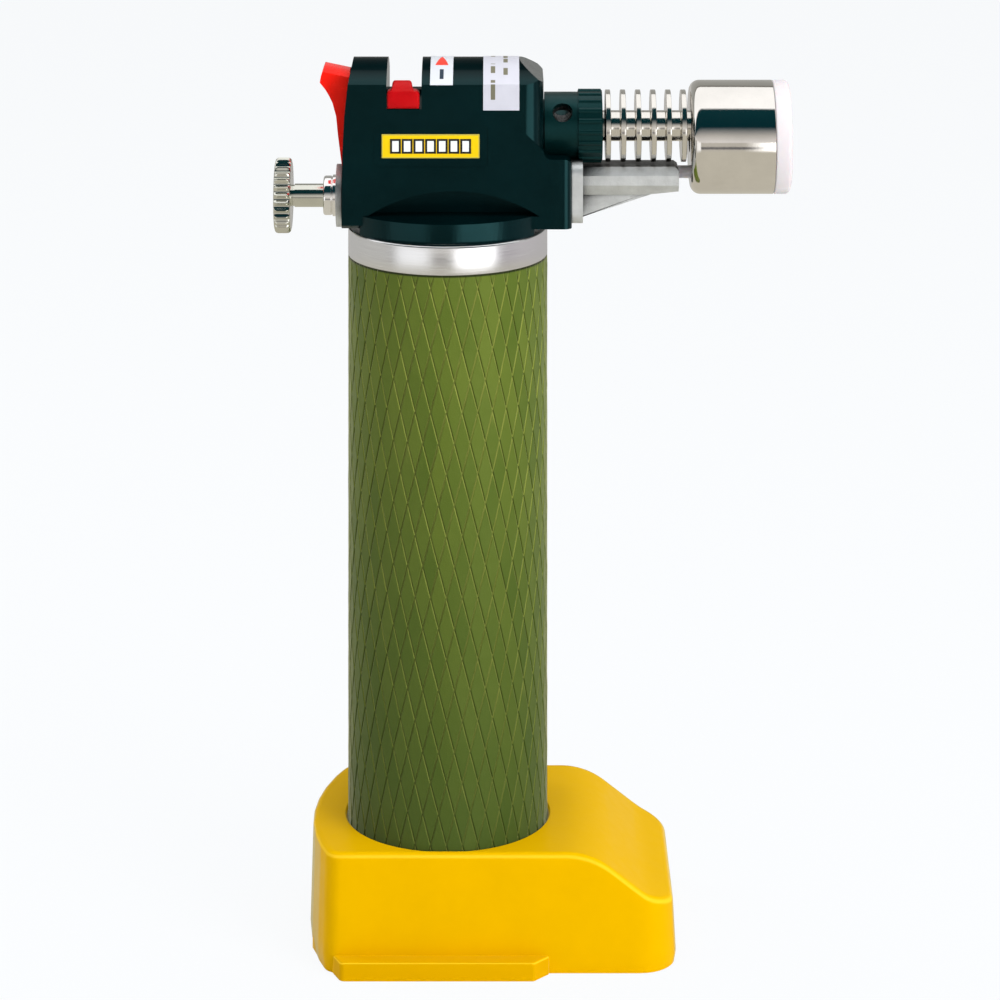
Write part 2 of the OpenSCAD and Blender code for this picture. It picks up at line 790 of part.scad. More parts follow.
module shroud() {
  color([0.83, 0.82, 0.80]) difference() {
    rotate_shroud() polygon([
      [0, 0], [shroud_r - 1.7, 0], [shroud_r - 0.5, 0.5], [shroud_r, 1.7],
      [shroud_r, shroud_x1 - shroud_x0], [shroud_r - 0.8, shroud_x1 - shroud_x0], [shroud_r - 0.8, 1], [0, 1],
    ]);
    x_cyl(2.92, 40, 50, burner_z);
    x_cyl(1.25, 40, 50, lead_z);
  }
}

module rotate_shroud() {
  translate([shroud_x0, 0, shroud_z]) rotate([0, 90, 0]) rotate_extrude($fn = 120) children();
}

module nozzle_ring() {
  end = nozzle_x1 - shroud_x0;
  lip = shroud_x1 - shroud_x0;
  color([0.98, 0.96, 0.96]) rotate_shroud() polygon([
    [shroud_r - 2.6, lip - 3.5], [shroud_r - 0.82, lip - 3.5], [shroud_r - 0.82, lip], [shroud_r, lip],
    [shroud_r, end - 0.8], [shroud_r - 0.8, end], [shroud_r - 1.8, end], [shroud_r - 2.6, end - 0.8],
  ]);
}

module electrode_insulator() {
  color([0.93, 0.90, 0.84]) difference() {
    x_cyl(1.2, 19, 49.5, lead_z);
    x_cyl(0.52, 18, 51, lead_z);
  }
}

module electrode() {
  color([0.60, 0.60, 0.60]) {
    x_cyl(0.5, 19.5, 57, lead_z);
    rod([57, 0, lead_z], [58.6, 0, lead_z + 1.8], 0.5);
  }
}

// Insulated wire from the igniter to the electrode
module ignition_lead() {
  path = [[8.1, 2.9, 151.4], [9.4, 4.8, 149], [17.8, 5.2, 145], [18.2, 0.1, 144]];
  color([0.85, 0.30, 0.10]) {
    for (i = [1 : len(path) - 1]) rod(path[i - 1], path[i], 0.7);
  }
}

stand();
grip_sleeve();
tank();
tank_cap();
tank_seal();
fill_valve_body();
fill_valve_gasket();
fill_valve_spring();
fill_valve_stem();
gas_valve_body();
gas_valve_gasket();
gas_valve_spring();
gas_valve_stem();
gas_filter();
chassis();
chassis_screws();
collar_nut();
spindle_seal();
regulator_spindle();
gas_knob();
housing_front();
housing_rear();
housing_screws();
name_plate();
lock_label();
notice_label();
trigger();
trigger_pin();
lock_slider();
piezo_body();
piezo_plunger();
gas_tube();
jet();
air_sleeve();
burner_tube();
flame_holder();
shroud();
nozzle_ring();
electrode_insulator();
electrode();
ignition_lead();
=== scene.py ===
import json
import math
import random

import bmesh
import bpy
from mathutils import Matrix, Vector

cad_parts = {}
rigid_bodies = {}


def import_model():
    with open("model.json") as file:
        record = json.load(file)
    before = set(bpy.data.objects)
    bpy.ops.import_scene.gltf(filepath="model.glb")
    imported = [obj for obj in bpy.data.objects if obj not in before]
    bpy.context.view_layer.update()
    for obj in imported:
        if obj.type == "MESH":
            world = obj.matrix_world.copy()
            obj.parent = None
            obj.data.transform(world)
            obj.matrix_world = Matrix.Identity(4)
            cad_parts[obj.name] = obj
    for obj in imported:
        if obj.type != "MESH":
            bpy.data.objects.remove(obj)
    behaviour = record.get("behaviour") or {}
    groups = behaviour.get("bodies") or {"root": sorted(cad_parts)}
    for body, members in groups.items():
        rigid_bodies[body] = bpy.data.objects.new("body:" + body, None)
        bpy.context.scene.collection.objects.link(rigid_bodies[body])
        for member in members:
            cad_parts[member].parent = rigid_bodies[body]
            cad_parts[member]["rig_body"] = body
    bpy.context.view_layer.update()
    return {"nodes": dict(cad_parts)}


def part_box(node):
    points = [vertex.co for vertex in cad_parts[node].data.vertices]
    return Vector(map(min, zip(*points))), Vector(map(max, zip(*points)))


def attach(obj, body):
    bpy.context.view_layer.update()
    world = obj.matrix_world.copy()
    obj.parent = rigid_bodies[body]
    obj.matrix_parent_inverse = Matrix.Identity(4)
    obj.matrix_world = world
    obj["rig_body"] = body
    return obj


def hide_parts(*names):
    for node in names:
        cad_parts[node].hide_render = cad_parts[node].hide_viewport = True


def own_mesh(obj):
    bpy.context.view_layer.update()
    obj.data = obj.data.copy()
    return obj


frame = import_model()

NODES = frame["nodes"]

# Shapes are worked out in millimetres and scaled once, when their mesh is made.
MM = 0.001

# The grip's grooves: how many run each way, and their slope from the axis.
GROOVES = 40
GROOVE_ANGLE = math.radians(14.6)
# height of a diamond over the grip's radius
GROOVE_RISE = 2 * math.pi / GROOVES / math.tan(GROOVE_ANGLE)


def mm(node):
    """A CAD node's box in millimetres: lowest and highest corner."""
    lo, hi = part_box(node)
    return lo / MM, hi / MM


# ---------------------------------------------------------------- mesh tools


def piece(name, bm, material, node, angle=35):
    """Makes an object from bm (in millimetres) that stands for a CAD node and rides on its body."""
    bmesh.ops.recalc_face_normals(bm, faces=bm.faces)
    bmesh.ops.scale(bm, vec=Vector((MM, MM, MM)), verts=bm.verts)
    mesh = bpy.data.meshes.new(name)
    bm.to_mesh(mesh)
    bm.free()
    mesh.polygons.foreach_set("use_smooth", [True] * len(mesh.polygons))
    mesh.set_sharp_from_angle(angle=math.radians(angle))
    mesh.materials.append(material)
    obj = bpy.data.objects.new(name, mesh)
    bpy.context.scene.collection.objects.link(obj)
    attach(obj, NODES[node]["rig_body"])
    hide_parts(node)
    dress(node, material)
    return obj


def dress(node, material):
    """Gives a CAD node its material."""
    mesh = NODES[node].data
    mesh.materials.clear()
    mesh.materials.append(material)


def soften(obj, width):
    """Rounds the sharp edges by width millimetres and keeps the flat faces looking flat."""
    bevel = obj.modifiers.new("soft_edges", "BEVEL")
    bevel.width = width * MM
    bevel.segments = 3
    bevel.limit_method = "ANGLE"
    bevel.angle_limit = math.radians(32)
    bevel.use_clamp_overlap = True
    bevel.miter_outer = "MITER_ARC"
    bevel.harden_normals = True
    obj.modifiers.new("flat_faces", "WEIGHTED_NORMAL").keep_sharp = True
    return obj


def cad_mesh(node):
    """A CAD node's mesh in millimetres."""
    bm = bmesh.new()
    bm.from_mesh(NODES[node].data)
    bmesh.ops.scale(bm, vec=Vector((1 / MM,) * 3), verts=bm.verts)
    return bm


def cut(bm, at, normal):
    """Cuts a mesh by a plane and drops the side that the normal points to."""
    bmesh.ops.bisect_plane(
        bm,
        geom=bm.verts[:] + bm.edges[:] + bm.faces[:],
        plane_co=at,
        plane_no=normal,
        clear_outer=True,
        dist=1e-4,
    )


def from_cad(node, material, width, holed=False):
    """
    A copy of a CAD node whose shape is right as it is, with its edges rounded by width. holed: its flat
    faces that look to the front or back have holes, so they stay cut up in triangles.
    """
    bm = cad_mesh(node)
    bmesh.ops.remove_doubles(bm, verts=bm.verts, dist=0.003)
    bm.normal_update()
    edges = bm.edges[:]
    if holed:
        edges = [e for e in edges if not all(abs(f.normal.y) > 0.999 for f in e.link_faces)]
    bmesh.ops.dissolve_limit(
        bm, angle_limit=math.radians(0.6), verts=bm.verts, edges=edges, delimit=set()
    )
    obj = piece(node + "_body", bm, material, node)
    return soften(obj, width) if width else obj


def rounded(points, closed=False, steps=5):
    """Rounds the corners of a 2-D path. points: (a, b, corner radius)."""
    out = []
    count = len(points)
    for i, (a, b, r) in enumerate(points):
        if r <= 0 or (not closed and i in (0, count - 1)):
            out.append((a, b))
            continue
        p = Vector((a, b))
        u = Vector(points[i - 1][:2]) - p
        v = Vector(points[(i + 1) % count][:2]) - p
        half = u.angle(v) / 2
        reach = min(r / math.tan(half), u.length * 0.49, v.length * 0.49)
        radius = reach * math.tan(half)
        start, end = p + u.normalized() * reach, p + v.normalized() * reach
        centre = p + (u.normalized() + v.normalized()).normalized() * (radius / math.sin(half))
        a0, a1 = start - centre, end - centre
        turn = a0.angle_signed(a1)
        for k in range(steps + 1):
            arm = a0.copy()
            arm.rotate(Matrix.Rotation(-turn * k / steps, 2))
            out.append(tuple(centre + arm))
    return out


def lathe(profile, centre=(0, 0, 0), axis="Z", steps=144):
    """Turns a closed profile of (radius, place along the axis) round an axis through centre."""
    bm = bmesh.new()
    rings = []
    for r, t in profile:
        ring = []
        for k in range(steps if r > 1e-6 else 1):
            a = 2 * math.pi * k / steps
            local = (r * math.cos(a), r * math.sin(a), t)
            if axis == "X":
                local = (t, local[0], local[1])
            ring.append(bm.verts.new(Vector(centre) + Vector(local)))
        rings.append(ring)
    for low, high in zip(rings, rings[1:] + rings[:1]):
        join_rings(bm, low, high)
    return bm


def join_rings(bm, low, high):
    """Faces between two closed rings; a ring of one point is a pole."""
    if len(low) == len(high) == 1:
        return
    for k in range(max(len(low), len(high))):
        n = k + 1
        corners = [low[k % len(low)], low[n % len(low)], high[n % len(high)], high[k % len(high)]]
        bm.faces.new(list(dict.fromkeys(corners)))


# ---------------------------------------------------------------- material tools


class Look:
    """A small builder for node materials. Coordinates are the object's own, in metres."""

    def __init__(self, name):
        self.material = bpy.data.materials.new(name)
        self.material.use_nodes = True
        self.tree = self.material.node_tree
        self.shader = self.tree.nodes["Principled BSDF"]
        self.place = self.node("ShaderNodeTexCoord").outputs["Object"]

    def node(self, kind, **settings):
        made = self.tree.nodes.new(kind)
        for key, value in settings.items():
            setattr(made, key, value)
        return made

    def feed(self, socket, value):
        if isinstance(value, bpy.types.NodeSocket):
            self.tree.links.new(value, socket)
        elif socket.type == "RGBA" and len(value) == 3:
            socket.default_value = (*value, 1)
        else:
            socket.default_value = value

    def set(self, **values):
        for key, value in values.items():
            self.feed(self.shader.inputs[key.replace("_", " ")], value)
        return self

    def stretch(self, scale, place=None):
        made = self.node("ShaderNodeVectorMath", operation="MULTIPLY")
        self.feed(made.inputs[0], place or self.place)
        self.feed(made.inputs[1], scale)
        return made.outputs[0]

    def noise(self, scale, detail=3, rough=0.55, place=None):
        made = self.node("ShaderNodeTexNoise")
        self.feed(made.inputs["Vector"], place or self.place)
        made.inputs["Scale"].default_value = scale
        made.inputs["Detail"].default_value = detail
        made.inputs["Roughness"].default_value = rough
        return made.outputs["Fac"]

    def spots(self, scale):
        made = self.node("ShaderNodeTexVoronoi", feature="DISTANCE_TO_EDGE")
        self.feed(made.inputs["Vector"], self.place)
        made.inputs["Scale"].default_value = scale
        return made.outputs["Distance"]

    def fit(self, value, low, high, to_low=0.0, to_high=1.0):
        made = self.node("ShaderNodeMapRange", clamp=True)
        self.feed(made.inputs["Value"], value)
        ends = {"From Min": low, "From Max": high, "To Min": to_low, "To Max": to_high}
        for key, number in ends.items():
            made.inputs[key].default_value = number
        return made.outputs["Result"]

    def calc(self, operation, a, b=0.0):
        made = self.node("ShaderNodeMath", operation=operation)
        self.feed(made.inputs[0], a)
        self.feed(made.inputs[1], b)
        return made.outputs[0]

    def length(self, a, b):
        """Length of the arm with the parts a and b."""
        square = self.calc("ADD", self.calc("MULTIPLY", a, a), self.calc("MULTIPLY", b, b))
        return self.calc("SQRT", square)

    def mix(self, factor, a, b):
        made = self.node("ShaderNodeMix", data_type="RGBA")
        self.feed(made.inputs[0], factor)
        self.feed(made.inputs[6], a)
        self.feed(made.inputs[7], b)
        return made.outputs[2]

    def axis(self, which):
        made = self.node("ShaderNodeSeparateXYZ")
        self.feed(made.inputs[0], self.place)
        return made.outputs[which]

    def up(self):
        """How far the surface looks up: 1 for a level top, 0 for a wall."""
        made = self.node("ShaderNodeSeparateXYZ")
        self.feed(made.inputs[0], self.node("ShaderNodeNewGeometry").outputs["Normal"])
        return made.outputs[2]

    def both(self, a, b):
        """1 where both are 1."""
        return self.calc("MULTIPLY", a, b)

    def inside(self, value, low, high):
        """1 where value lies between low and high, in millimetres."""
        above = self.calc("GREATER_THAN", value, low * MM)
        return self.both(above, self.calc("LESS_THAN", value, high * MM))

    def bump(self, height, depth, strength=1.0, under=None):
        made = self.node("ShaderNodeBump")
        made.inputs["Strength"].default_value = strength
        made.inputs["Distance"].default_value = depth * MM
        self.feed(made.inputs["Height"], height)
        if under:
            self.feed(made.inputs["Normal"], under)
        return made.outputs["Normal"]


def plastic(
    name, colour, rough, grain=0.010, dark=0.82, shine=0.5, tint=(1, 1, 1), dusty_top=1.0, light_paint=None
):
    """
    Moulded plastic: fine grain, uneven gloss and faint blotches, dark times the colour. shine scales its
    reflections, dusty_top what is left of them on faces that look up. The last argument, a function of
    (look, body), may paint light and shade over its colour: painted highlights and painted shade.
    """
    look = Look(name)
    shade = tuple(c * dark for c in colour)
    body = look.mix(look.fit(look.noise(90, 4), 0.35, 0.65), shade, colour)
    # painted light and shade, where given, go over the colour
    if light_paint:
        body = light_paint(look, body)
    if dusty_top < 1:
        shine = look.fit(look.up(), 0.84, 0.93, shine, shine * dusty_top)
    look.set(
        Base_Color=body,
        Roughness=look.fit(look.noise(400, 5), 0.3, 0.7, rough * 0.85, rough * 1.15),
        Normal=look.bump(look.noise(5200, 2), grain, under=look.bump(look.noise(160, 2), 0.02)),
        Specular_IOR_Level=shine,
        Specular_Tint=(*tint, 1),
    )
    return look.material


def metal(name, colour, rough, grain=0.006, tint=None, smear=0.05):
    """Bare or plated metal: smudged gloss, slight tint in patches and a fine surface grain."""
    look = Look(name)
    patch = look.fit(look.noise(120, 4), 0.35, 0.7)
    look.set(
        Base_Color=look.mix(patch, colour, tint or tuple(c * 0.9 for c in colour)),
        Metallic=1.0,
        Roughness=look.fit(look.noise(260, 6, 0.65), 0.3, 0.75, rough, rough + smear),
        Normal=look.bump(look.noise(2600, 3, 0.6), grain),
    )
    return look.material


def stand_painted_light(look, body):
    """Stand yellow: painted light on top, painted highlights on rounded edges, a darker low lip, painted
    pale grazing reflection.
    """
    up = look.up()
    # painted light: faces that look up get a lighter tone
    body = look.mix(look.fit(up, 0.6, 0.8), body, (0.735, 0.42, 0.0))
    lip = look.calc("LESS_THAN", look.axis(1), (STAND_FRONT_Y - 0.2) * MM)
    body = look.mix(look.calc("MULTIPLY", lip, 0.5), body, (0.56, 0.29, 0.0))
    # painted highlight on the rounded edges
    rounding = look.calc("MULTIPLY", look.fit(up, 0.15, 0.35), look.fit(up, 0.6, 0.75, 0.8, 0))
    body = look.mix(rounding, body, (0.86, 0.54, 0.02))
    # painted pale reflection where the surface is seen at a flat angle
    flat = look.node("ShaderNodeLayerWeight").outputs["Facing"]
    return look.mix(look.fit(flat, 0.72, 0.97), body, (0.52, 0.46, 0.23))


def turned_metal(name, colour, rough, centre, axis, grain=0.012):
    """Metal with the fine rings that a lathe leaves round an axis, at centre in millimetres."""
    look = Look(name)
    shift = look.node("ShaderNodeVectorMath", operation="SUBTRACT")
    look.feed(shift.inputs[0], look.place)
    look.feed(shift.inputs[1], tuple(c * MM for c in centre))
    parts = look.node("ShaderNodeSeparateXYZ")
    look.feed(parts.inputs[0], shift.outputs[0])
    along, a, b = (parts.outputs[i] for i in ((2, 0, 1) if axis == "Z" else (0, 1, 2)))
    radius = look.length(a, b)
    rings_per_metre = 9000.0
    ring = look.node("ShaderNodeCombineXYZ")
    look.feed(ring.inputs[0], look.calc("MULTIPLY", along, rings_per_metre))
    look.feed(ring.inputs[1], look.calc("MULTIPLY", radius, rings_per_metre))
    look.feed(ring.inputs[2], look.calc("MULTIPLY", look.calc("ARCTAN2", a, b), 1.5))
    lines = look.noise(1.0, 4, 0.7, ring.outputs[0])
    look.set(
        Base_Color=look.mix(look.fit(lines, 0.3, 0.7), tuple(c * 0.86 for c in colour), colour),
        Metallic=1.0,
        Roughness=look.fit(lines, 0.3, 0.7, rough, rough + 0.12),
        Anisotropic=0.5,
        Normal=look.bump(lines, grain, 0.7),
    )
    return look.material


def cast_metal(name, colour):
    """Die-cast zinc: soft sheen, orange-peel skin, small pits, darker patches and painted shade in deep
    holes.
    """
    look = Look(name)
    pits = look.fit(look.spots(1500), 0.0, 0.25)
    skin = look.bump(look.noise(1100, 4), 0.05, under=look.bump(pits, 0.012))
    dull = tuple(c * 0.78 for c in colour)
    patchy = look.mix(look.fit(look.noise(220, 4), 0.35, 0.7), dull, colour)
    # painted shade: deep holes and tight corners, found by ambient occlusion, are painted near black
    open_air = look.node("ShaderNodeAmbientOcclusion", samples=8)
    open_air.inputs["Distance"].default_value = 5 * MM
    unshaded = look.fit(open_air.outputs["AO"], 0.42, 0.68)
    look.set(
        Base_Color=look.mix(unshaded, (0.02, 0.02, 0.02), patchy),
        Metallic=0.7,
        Roughness=look.fit(look.noise(500, 5), 0.3, 0.7, 0.34, 0.5),
        Normal=skin,
    )
    return look.material


def grip_rubber(radius, top):
    """Green vinyl grip: soft gloss on the diamonds; grooves with painted light, pale on walls that look
    up, dark on walls that look down, the floors in between.
    """
    look = Look("grip_rubber")
    x, y = look.axis(0), look.axis(1)
    land = look.fit(look.length(x, y), (radius - 0.10) * MM, (radius - 0.06) * MM)
    # number of the diamond along each family of grooves, for a tone of its own
    turn = look.calc("ARCTAN2", x, look.calc("MULTIPLY", y, -1.0))
    turn = look.calc("SUBTRACT", look.calc("MULTIPLY", turn, GROOVES / (2 * math.pi)), GROOVES / 4)
    climb = look.calc("DIVIDE", look.axis(2), GROOVE_RISE * radius * MM)
    cell = look.node("ShaderNodeCombineXYZ")
    for slot, operation in enumerate(("ADD", "SUBTRACT")):
        look.feed(cell.inputs[slot], look.calc("FLOOR", look.calc(operation, turn, climb)))
    tone = look.node("ShaderNodeTexWhiteNoise", noise_dimensions="2D")
    look.feed(tone.inputs["Vector"], cell.outputs[0])
    body = look.mix(tone.outputs["Value"], (0.064, 0.102, 0.010), (0.100, 0.138, 0.016))
    body = look.mix(look.fit(look.noise(70, 5), 0.35, 0.65, 0, 0.4), body, (0.105, 0.140, 0.018))
    # painted light: groove walls that look up are painted pale, those that look down painted dark
    facing = look.node("ShaderNodeVectorMath", operation="DOT_PRODUCT")
    look.feed(facing.inputs[0], look.node("ShaderNodeNewGeometry").outputs["True Normal"])
    look.feed(facing.inputs[1], (0.12, 0.0, 0.97))
    wall = look.fit(facing.outputs["Value"], -0.25, 0.25)
    fleck = look.fit(look.noise(2400, 4, 0.7), 0.64, 0.8, 0, 0.35)
    skin = look.mix(fleck, body, (0.22, 0.25, 0.05))
    groove = look.mix(wall, (0.026, 0.040, 0.005), (0.270, 0.300, 0.060))
    # painted shade: darker towards the foot; a dark joint line just under the band
    whole = look.mix(land, groove, skin)
    foot_shade = look.fit(look.axis(2), 16 * MM, 110 * MM, 0.62, 0)
    foot_shaded = look.mix(foot_shade, whole, (0.010, 0.030, 0.004))
    joint = look.fit(look.axis(2), (top - 0.42) * MM, (top - 0.30) * MM)
    gloss = look.fit(look.noise(600, 5), 0.3, 0.7, 0.40, 0.52)
    look.set(
        Base_Color=look.mix(joint, foot_shaded, (0.012, 0.018, 0.004)),
        Roughness=look.calc("ADD", gloss, look.fit(land, 0, 1, 0.3, 0)),
        Specular_IOR_Level=0.35,
        Specular_Tint=(0.9, 1.0, 0.5, 1),
        Sheen_Weight=0.52,
        Sheen_Roughness=0.25,
        Sheen_Tint=(1.0, 0.95, 0.56, 1),
        Normal=look.bump(look.noise(3800, 3), 0.025, under=look.bump(look.noise(500, 3), 0.02)),
    )
    return look.material


def ceramic(name, colour):
    """Unglazed white ceramic with a fine tooth and the odd grey speck."""
    look = Look(name)
    speck = look.fit(look.noise(1700, 2), 0.7, 0.76, 0, 0.35)
    look.set(
        Base_Color=look.mix(speck, colour, (0.55, 0.52, 0.48)),
        Roughness=look.fit(look.noise(500, 4), 0.3, 0.7, 0.5, 0.7),
        Subsurface_Weight=0.15,
        Subsurface_Scale=0.001,
        Normal=look.bump(look.noise(4200, 4), 0.02),
    )
    return look.material


def film(name, paint):
    """Printed film or foil: paint(look) gives its colour."""
    look = Look(name)
    look.set(
        Base_Color=paint(look),
        Roughness=look.fit(look.noise(500, 4), 0.3, 0.7, 0.28, 0.42),
        Normal=look.bump(look.noise(1200, 2), 0.006),
        Specular_IOR_Level=0.2,
    )
    return look.material


def felt(name, colour):
    """Pressed felt: rough, with fibres that lie a little along the axis."""
    look = Look(name)
    fibre = look.noise(3000, 6, 0.8, look.stretch((1, 1, 0.4)))
    look.set(
        Base_Color=look.mix(look.fit(fibre, 0.3, 0.7), tuple(c * 0.6 for c in colour), colour),
        Roughness=0.95,
        Normal=look.bump(fibre, 0.08),
    )
    return look.material


# ---------------------------------------------------------------- printed marks


def paint_lock_label(look):
    """White film with a dark bar and a red wedge beside the lock slider."""
    lo, hi = mm("lock_label")
    x, y = look.axis(0), look.axis(1)
    mid = (lo.x + hi.x) / 2
    front = lo.y
    bar = look.both(look.inside(x, mid - 0.38, mid + 0.38), look.inside(y, front + 1.2, front + 3.9))
    # the wedge narrows towards the back
    half_width = look.fit(y, (front + 5.4) * MM, (front + 10.5) * MM, 1.25 * MM, 0.1 * MM)
    off = look.calc("ABSOLUTE", look.calc("SUBTRACT", x, mid * MM))
    wedge = look.both(look.calc("LESS_THAN", off, half_width), look.inside(y, front + 5.4, front + 10.5))
    white = look.mix(look.noise(300, 3), (0.58, 0.60, 0.64), (0.64, 0.66, 0.70))
    return look.mix(wedge, look.mix(bar, white, (0.015, 0.03, 0.05)), (0.75, 0.05, 0.03))


def paint_notice(look):
    """White film with plain ruled marks where a notice would be."""
    lo, hi = mm("notice_label")
    x, y, z = (look.axis(i) for i in range(3))
    # distance run from the lower edge of the film, up the face and then back over the roof
    run = look.calc(
        "ADD", look.calc("SUBTRACT", z, lo.z * MM), look.calc("SUBTRACT", y, lo.y * MM)
    )
    along = look.stretch((0, 1, 1))
    marks = 0.0
    for share, start, dashes in ((0.27, 2.0, 420), (0.62, 7.5, 510)):
        place = lo.x + share * (hi.x - lo.x)
        line = look.inside(x, place - 0.42, place + 0.42)
        line = look.both(line, look.calc("GREATER_THAN", run, start * MM))
        dash = look.calc("GREATER_THAN", look.noise(dashes, 1, 0.5, along), 0.46)
        marks = look.calc("MAXIMUM", look.both(line, dash), marks)
    white = look.mix(look.noise(300, 3), (0.52, 0.52, 0.58), (0.58, 0.58, 0.64))
    return look.mix(marks, white, (0.16, 0.15, 0.10))


def paint_plate(look):
    """Yellow plate with a row of plain white blocks, each in a black surround."""
    lo, hi = mm("name_plate")
    x, z = look.axis(0), look.axis(2)
    mid = (lo + hi) / 2
    blocks, pitch, rim = 7, 2.2, 0.22
    reach = blocks / 2 * pitch
    step = look.calc("DIVIDE", look.calc("SUBTRACT", x, (mid.x - reach) * MM), pitch * MM)
    # place across one block, counted from its middle; the whole steps added keep it above zero
    across = look.calc("FRACT", look.calc("ADD", step, 10.0))
    off = look.calc("ABSOLUTE", look.calc("SUBTRACT", across, 0.5))
    row = look.inside(x, mid.x - reach - 0.1, mid.x + reach + 0.1)

    def block(share, height):
        wide = look.both(look.calc("LESS_THAN", off, share), row)
        return look.both(wide, look.inside(z, mid.z - height, mid.z + height))

    edge = look.both(look.inside(x, lo.x + rim, hi.x - rim), look.inside(z, lo.z + rim, hi.z - rim))
    yellow = look.mix(look.noise(300, 3), (0.78, 0.50, 0.0), (0.85, 0.58, 0.0))
    marks = look.mix(block(0.28, 1.0), (0.012, 0.012, 0.012), (0.82, 0.83, 0.81))
    field = look.mix(block(0.47, 1.4), yellow, marks)
    return look.mix(edge, (0.50, 0.40, 0.06), field)


# ---------------------------------------------------------------- stand

STAND_LO, STAND_HI = mm("stand")
SOCKET_FLOOR = mm("tank")[0].z
GRIP_R = mm("grip_sleeve")[1].x
SOCKET_R = GRIP_R + 0.2
SOCKET_EDGE = 0.35
STAND_FRONT_Y = -20.9
STAND_WALL = 2.4
STAND_DRAFT = 0.6
STAND_FILLET = 1.1
STAND_FOOT_EDGE = 0.35
CORNER_R = 7.0
BOW_R = 55.4
BOW_X = STAND_LO.x + BOW_R
BOW_CORNER_R = 3.2
TOE_Z = 13.0
LIP_H = 3.4
RAMP_X = 22.0
RAMP_ANGLE = math.radians(37.5)
RAMP_R = 14.0
RAMP_FOOT_R = 8.0
TOE_ANGLE = math.radians(20)


def deck_z(x):
    """Height of the stand's top over x: flat deck, a roll down into the ramp, then the gentle toe."""
    roll_x = RAMP_X + RAMP_R * math.sin(RAMP_ANGLE)
    roll_z = STAND_HI.z - RAMP_R * (1 - math.cos(RAMP_ANGLE))
    foot_x = roll_x + (roll_z - TOE_Z) / math.tan(RAMP_ANGLE) + RAMP_FOOT_R * math.tan(RAMP_ANGLE / 2)
    if x <= RAMP_X:
        return STAND_HI.z
    if x <= roll_x:
        return STAND_HI.z - RAMP_R + math.sqrt(RAMP_R**2 - (x - RAMP_X) ** 2)
    if x <= foot_x - RAMP_FOOT_R * math.sin(RAMP_ANGLE):
        return roll_z - (x - roll_x) * math.tan(RAMP_ANGLE)
    toe_x = foot_x - RAMP_FOOT_R * math.sin(TOE_ANGLE)
    if x <= toe_x:
        return TOE_Z + RAMP_FOOT_R - math.sqrt(RAMP_FOOT_R**2 - (x - foot_x) ** 2)
    return TOE_Z + RAMP_FOOT_R * (1 - math.cos(TOE_ANGLE)) - (x - toe_x) * math.tan(TOE_ANGLE)


def stand_outline(inset):
    """Plan of the stand: a bowed end behind the trigger, a square end under the nozzle."""
    bow = BOW_R - inset
    y0, y1, x1 = STAND_FRONT_Y + inset, STAND_HI.y - inset, STAND_HI.x - inset
    points = []
    for k in range(9):
        y = y1 + (y0 - y1) * k / 8
        points.append((BOW_X - math.sqrt(bow**2 - y**2), y, BOW_CORNER_R if k in (0, 8) else 0))
    points += [(x1, y0, CORNER_R - inset), (x1, y1, CORNER_R - inset)]
    return rounded(points, closed=True, steps=8)


def reach_of(outline, angle):
    """Distance from the socket's axis to a closed outline in the direction of an angle."""
    c, s = math.cos(angle), math.sin(angle)
    for (x0, y0), (x1, y1) in zip(outline, outline[1:] + outline[:1]):
        d0, d1 = y0 * c - x0 * s, y1 * c - x1 * s
        if (d0 < 0) == (d1 < 0):
            continue
        share = d0 / (d0 - d1)
        r = (x0 + share * (x1 - x0)) * c + (y0 + share * (y1 - y0)) * s
        if r > 0:
            return r
    raise ValueError("the outline does not go round the axis")


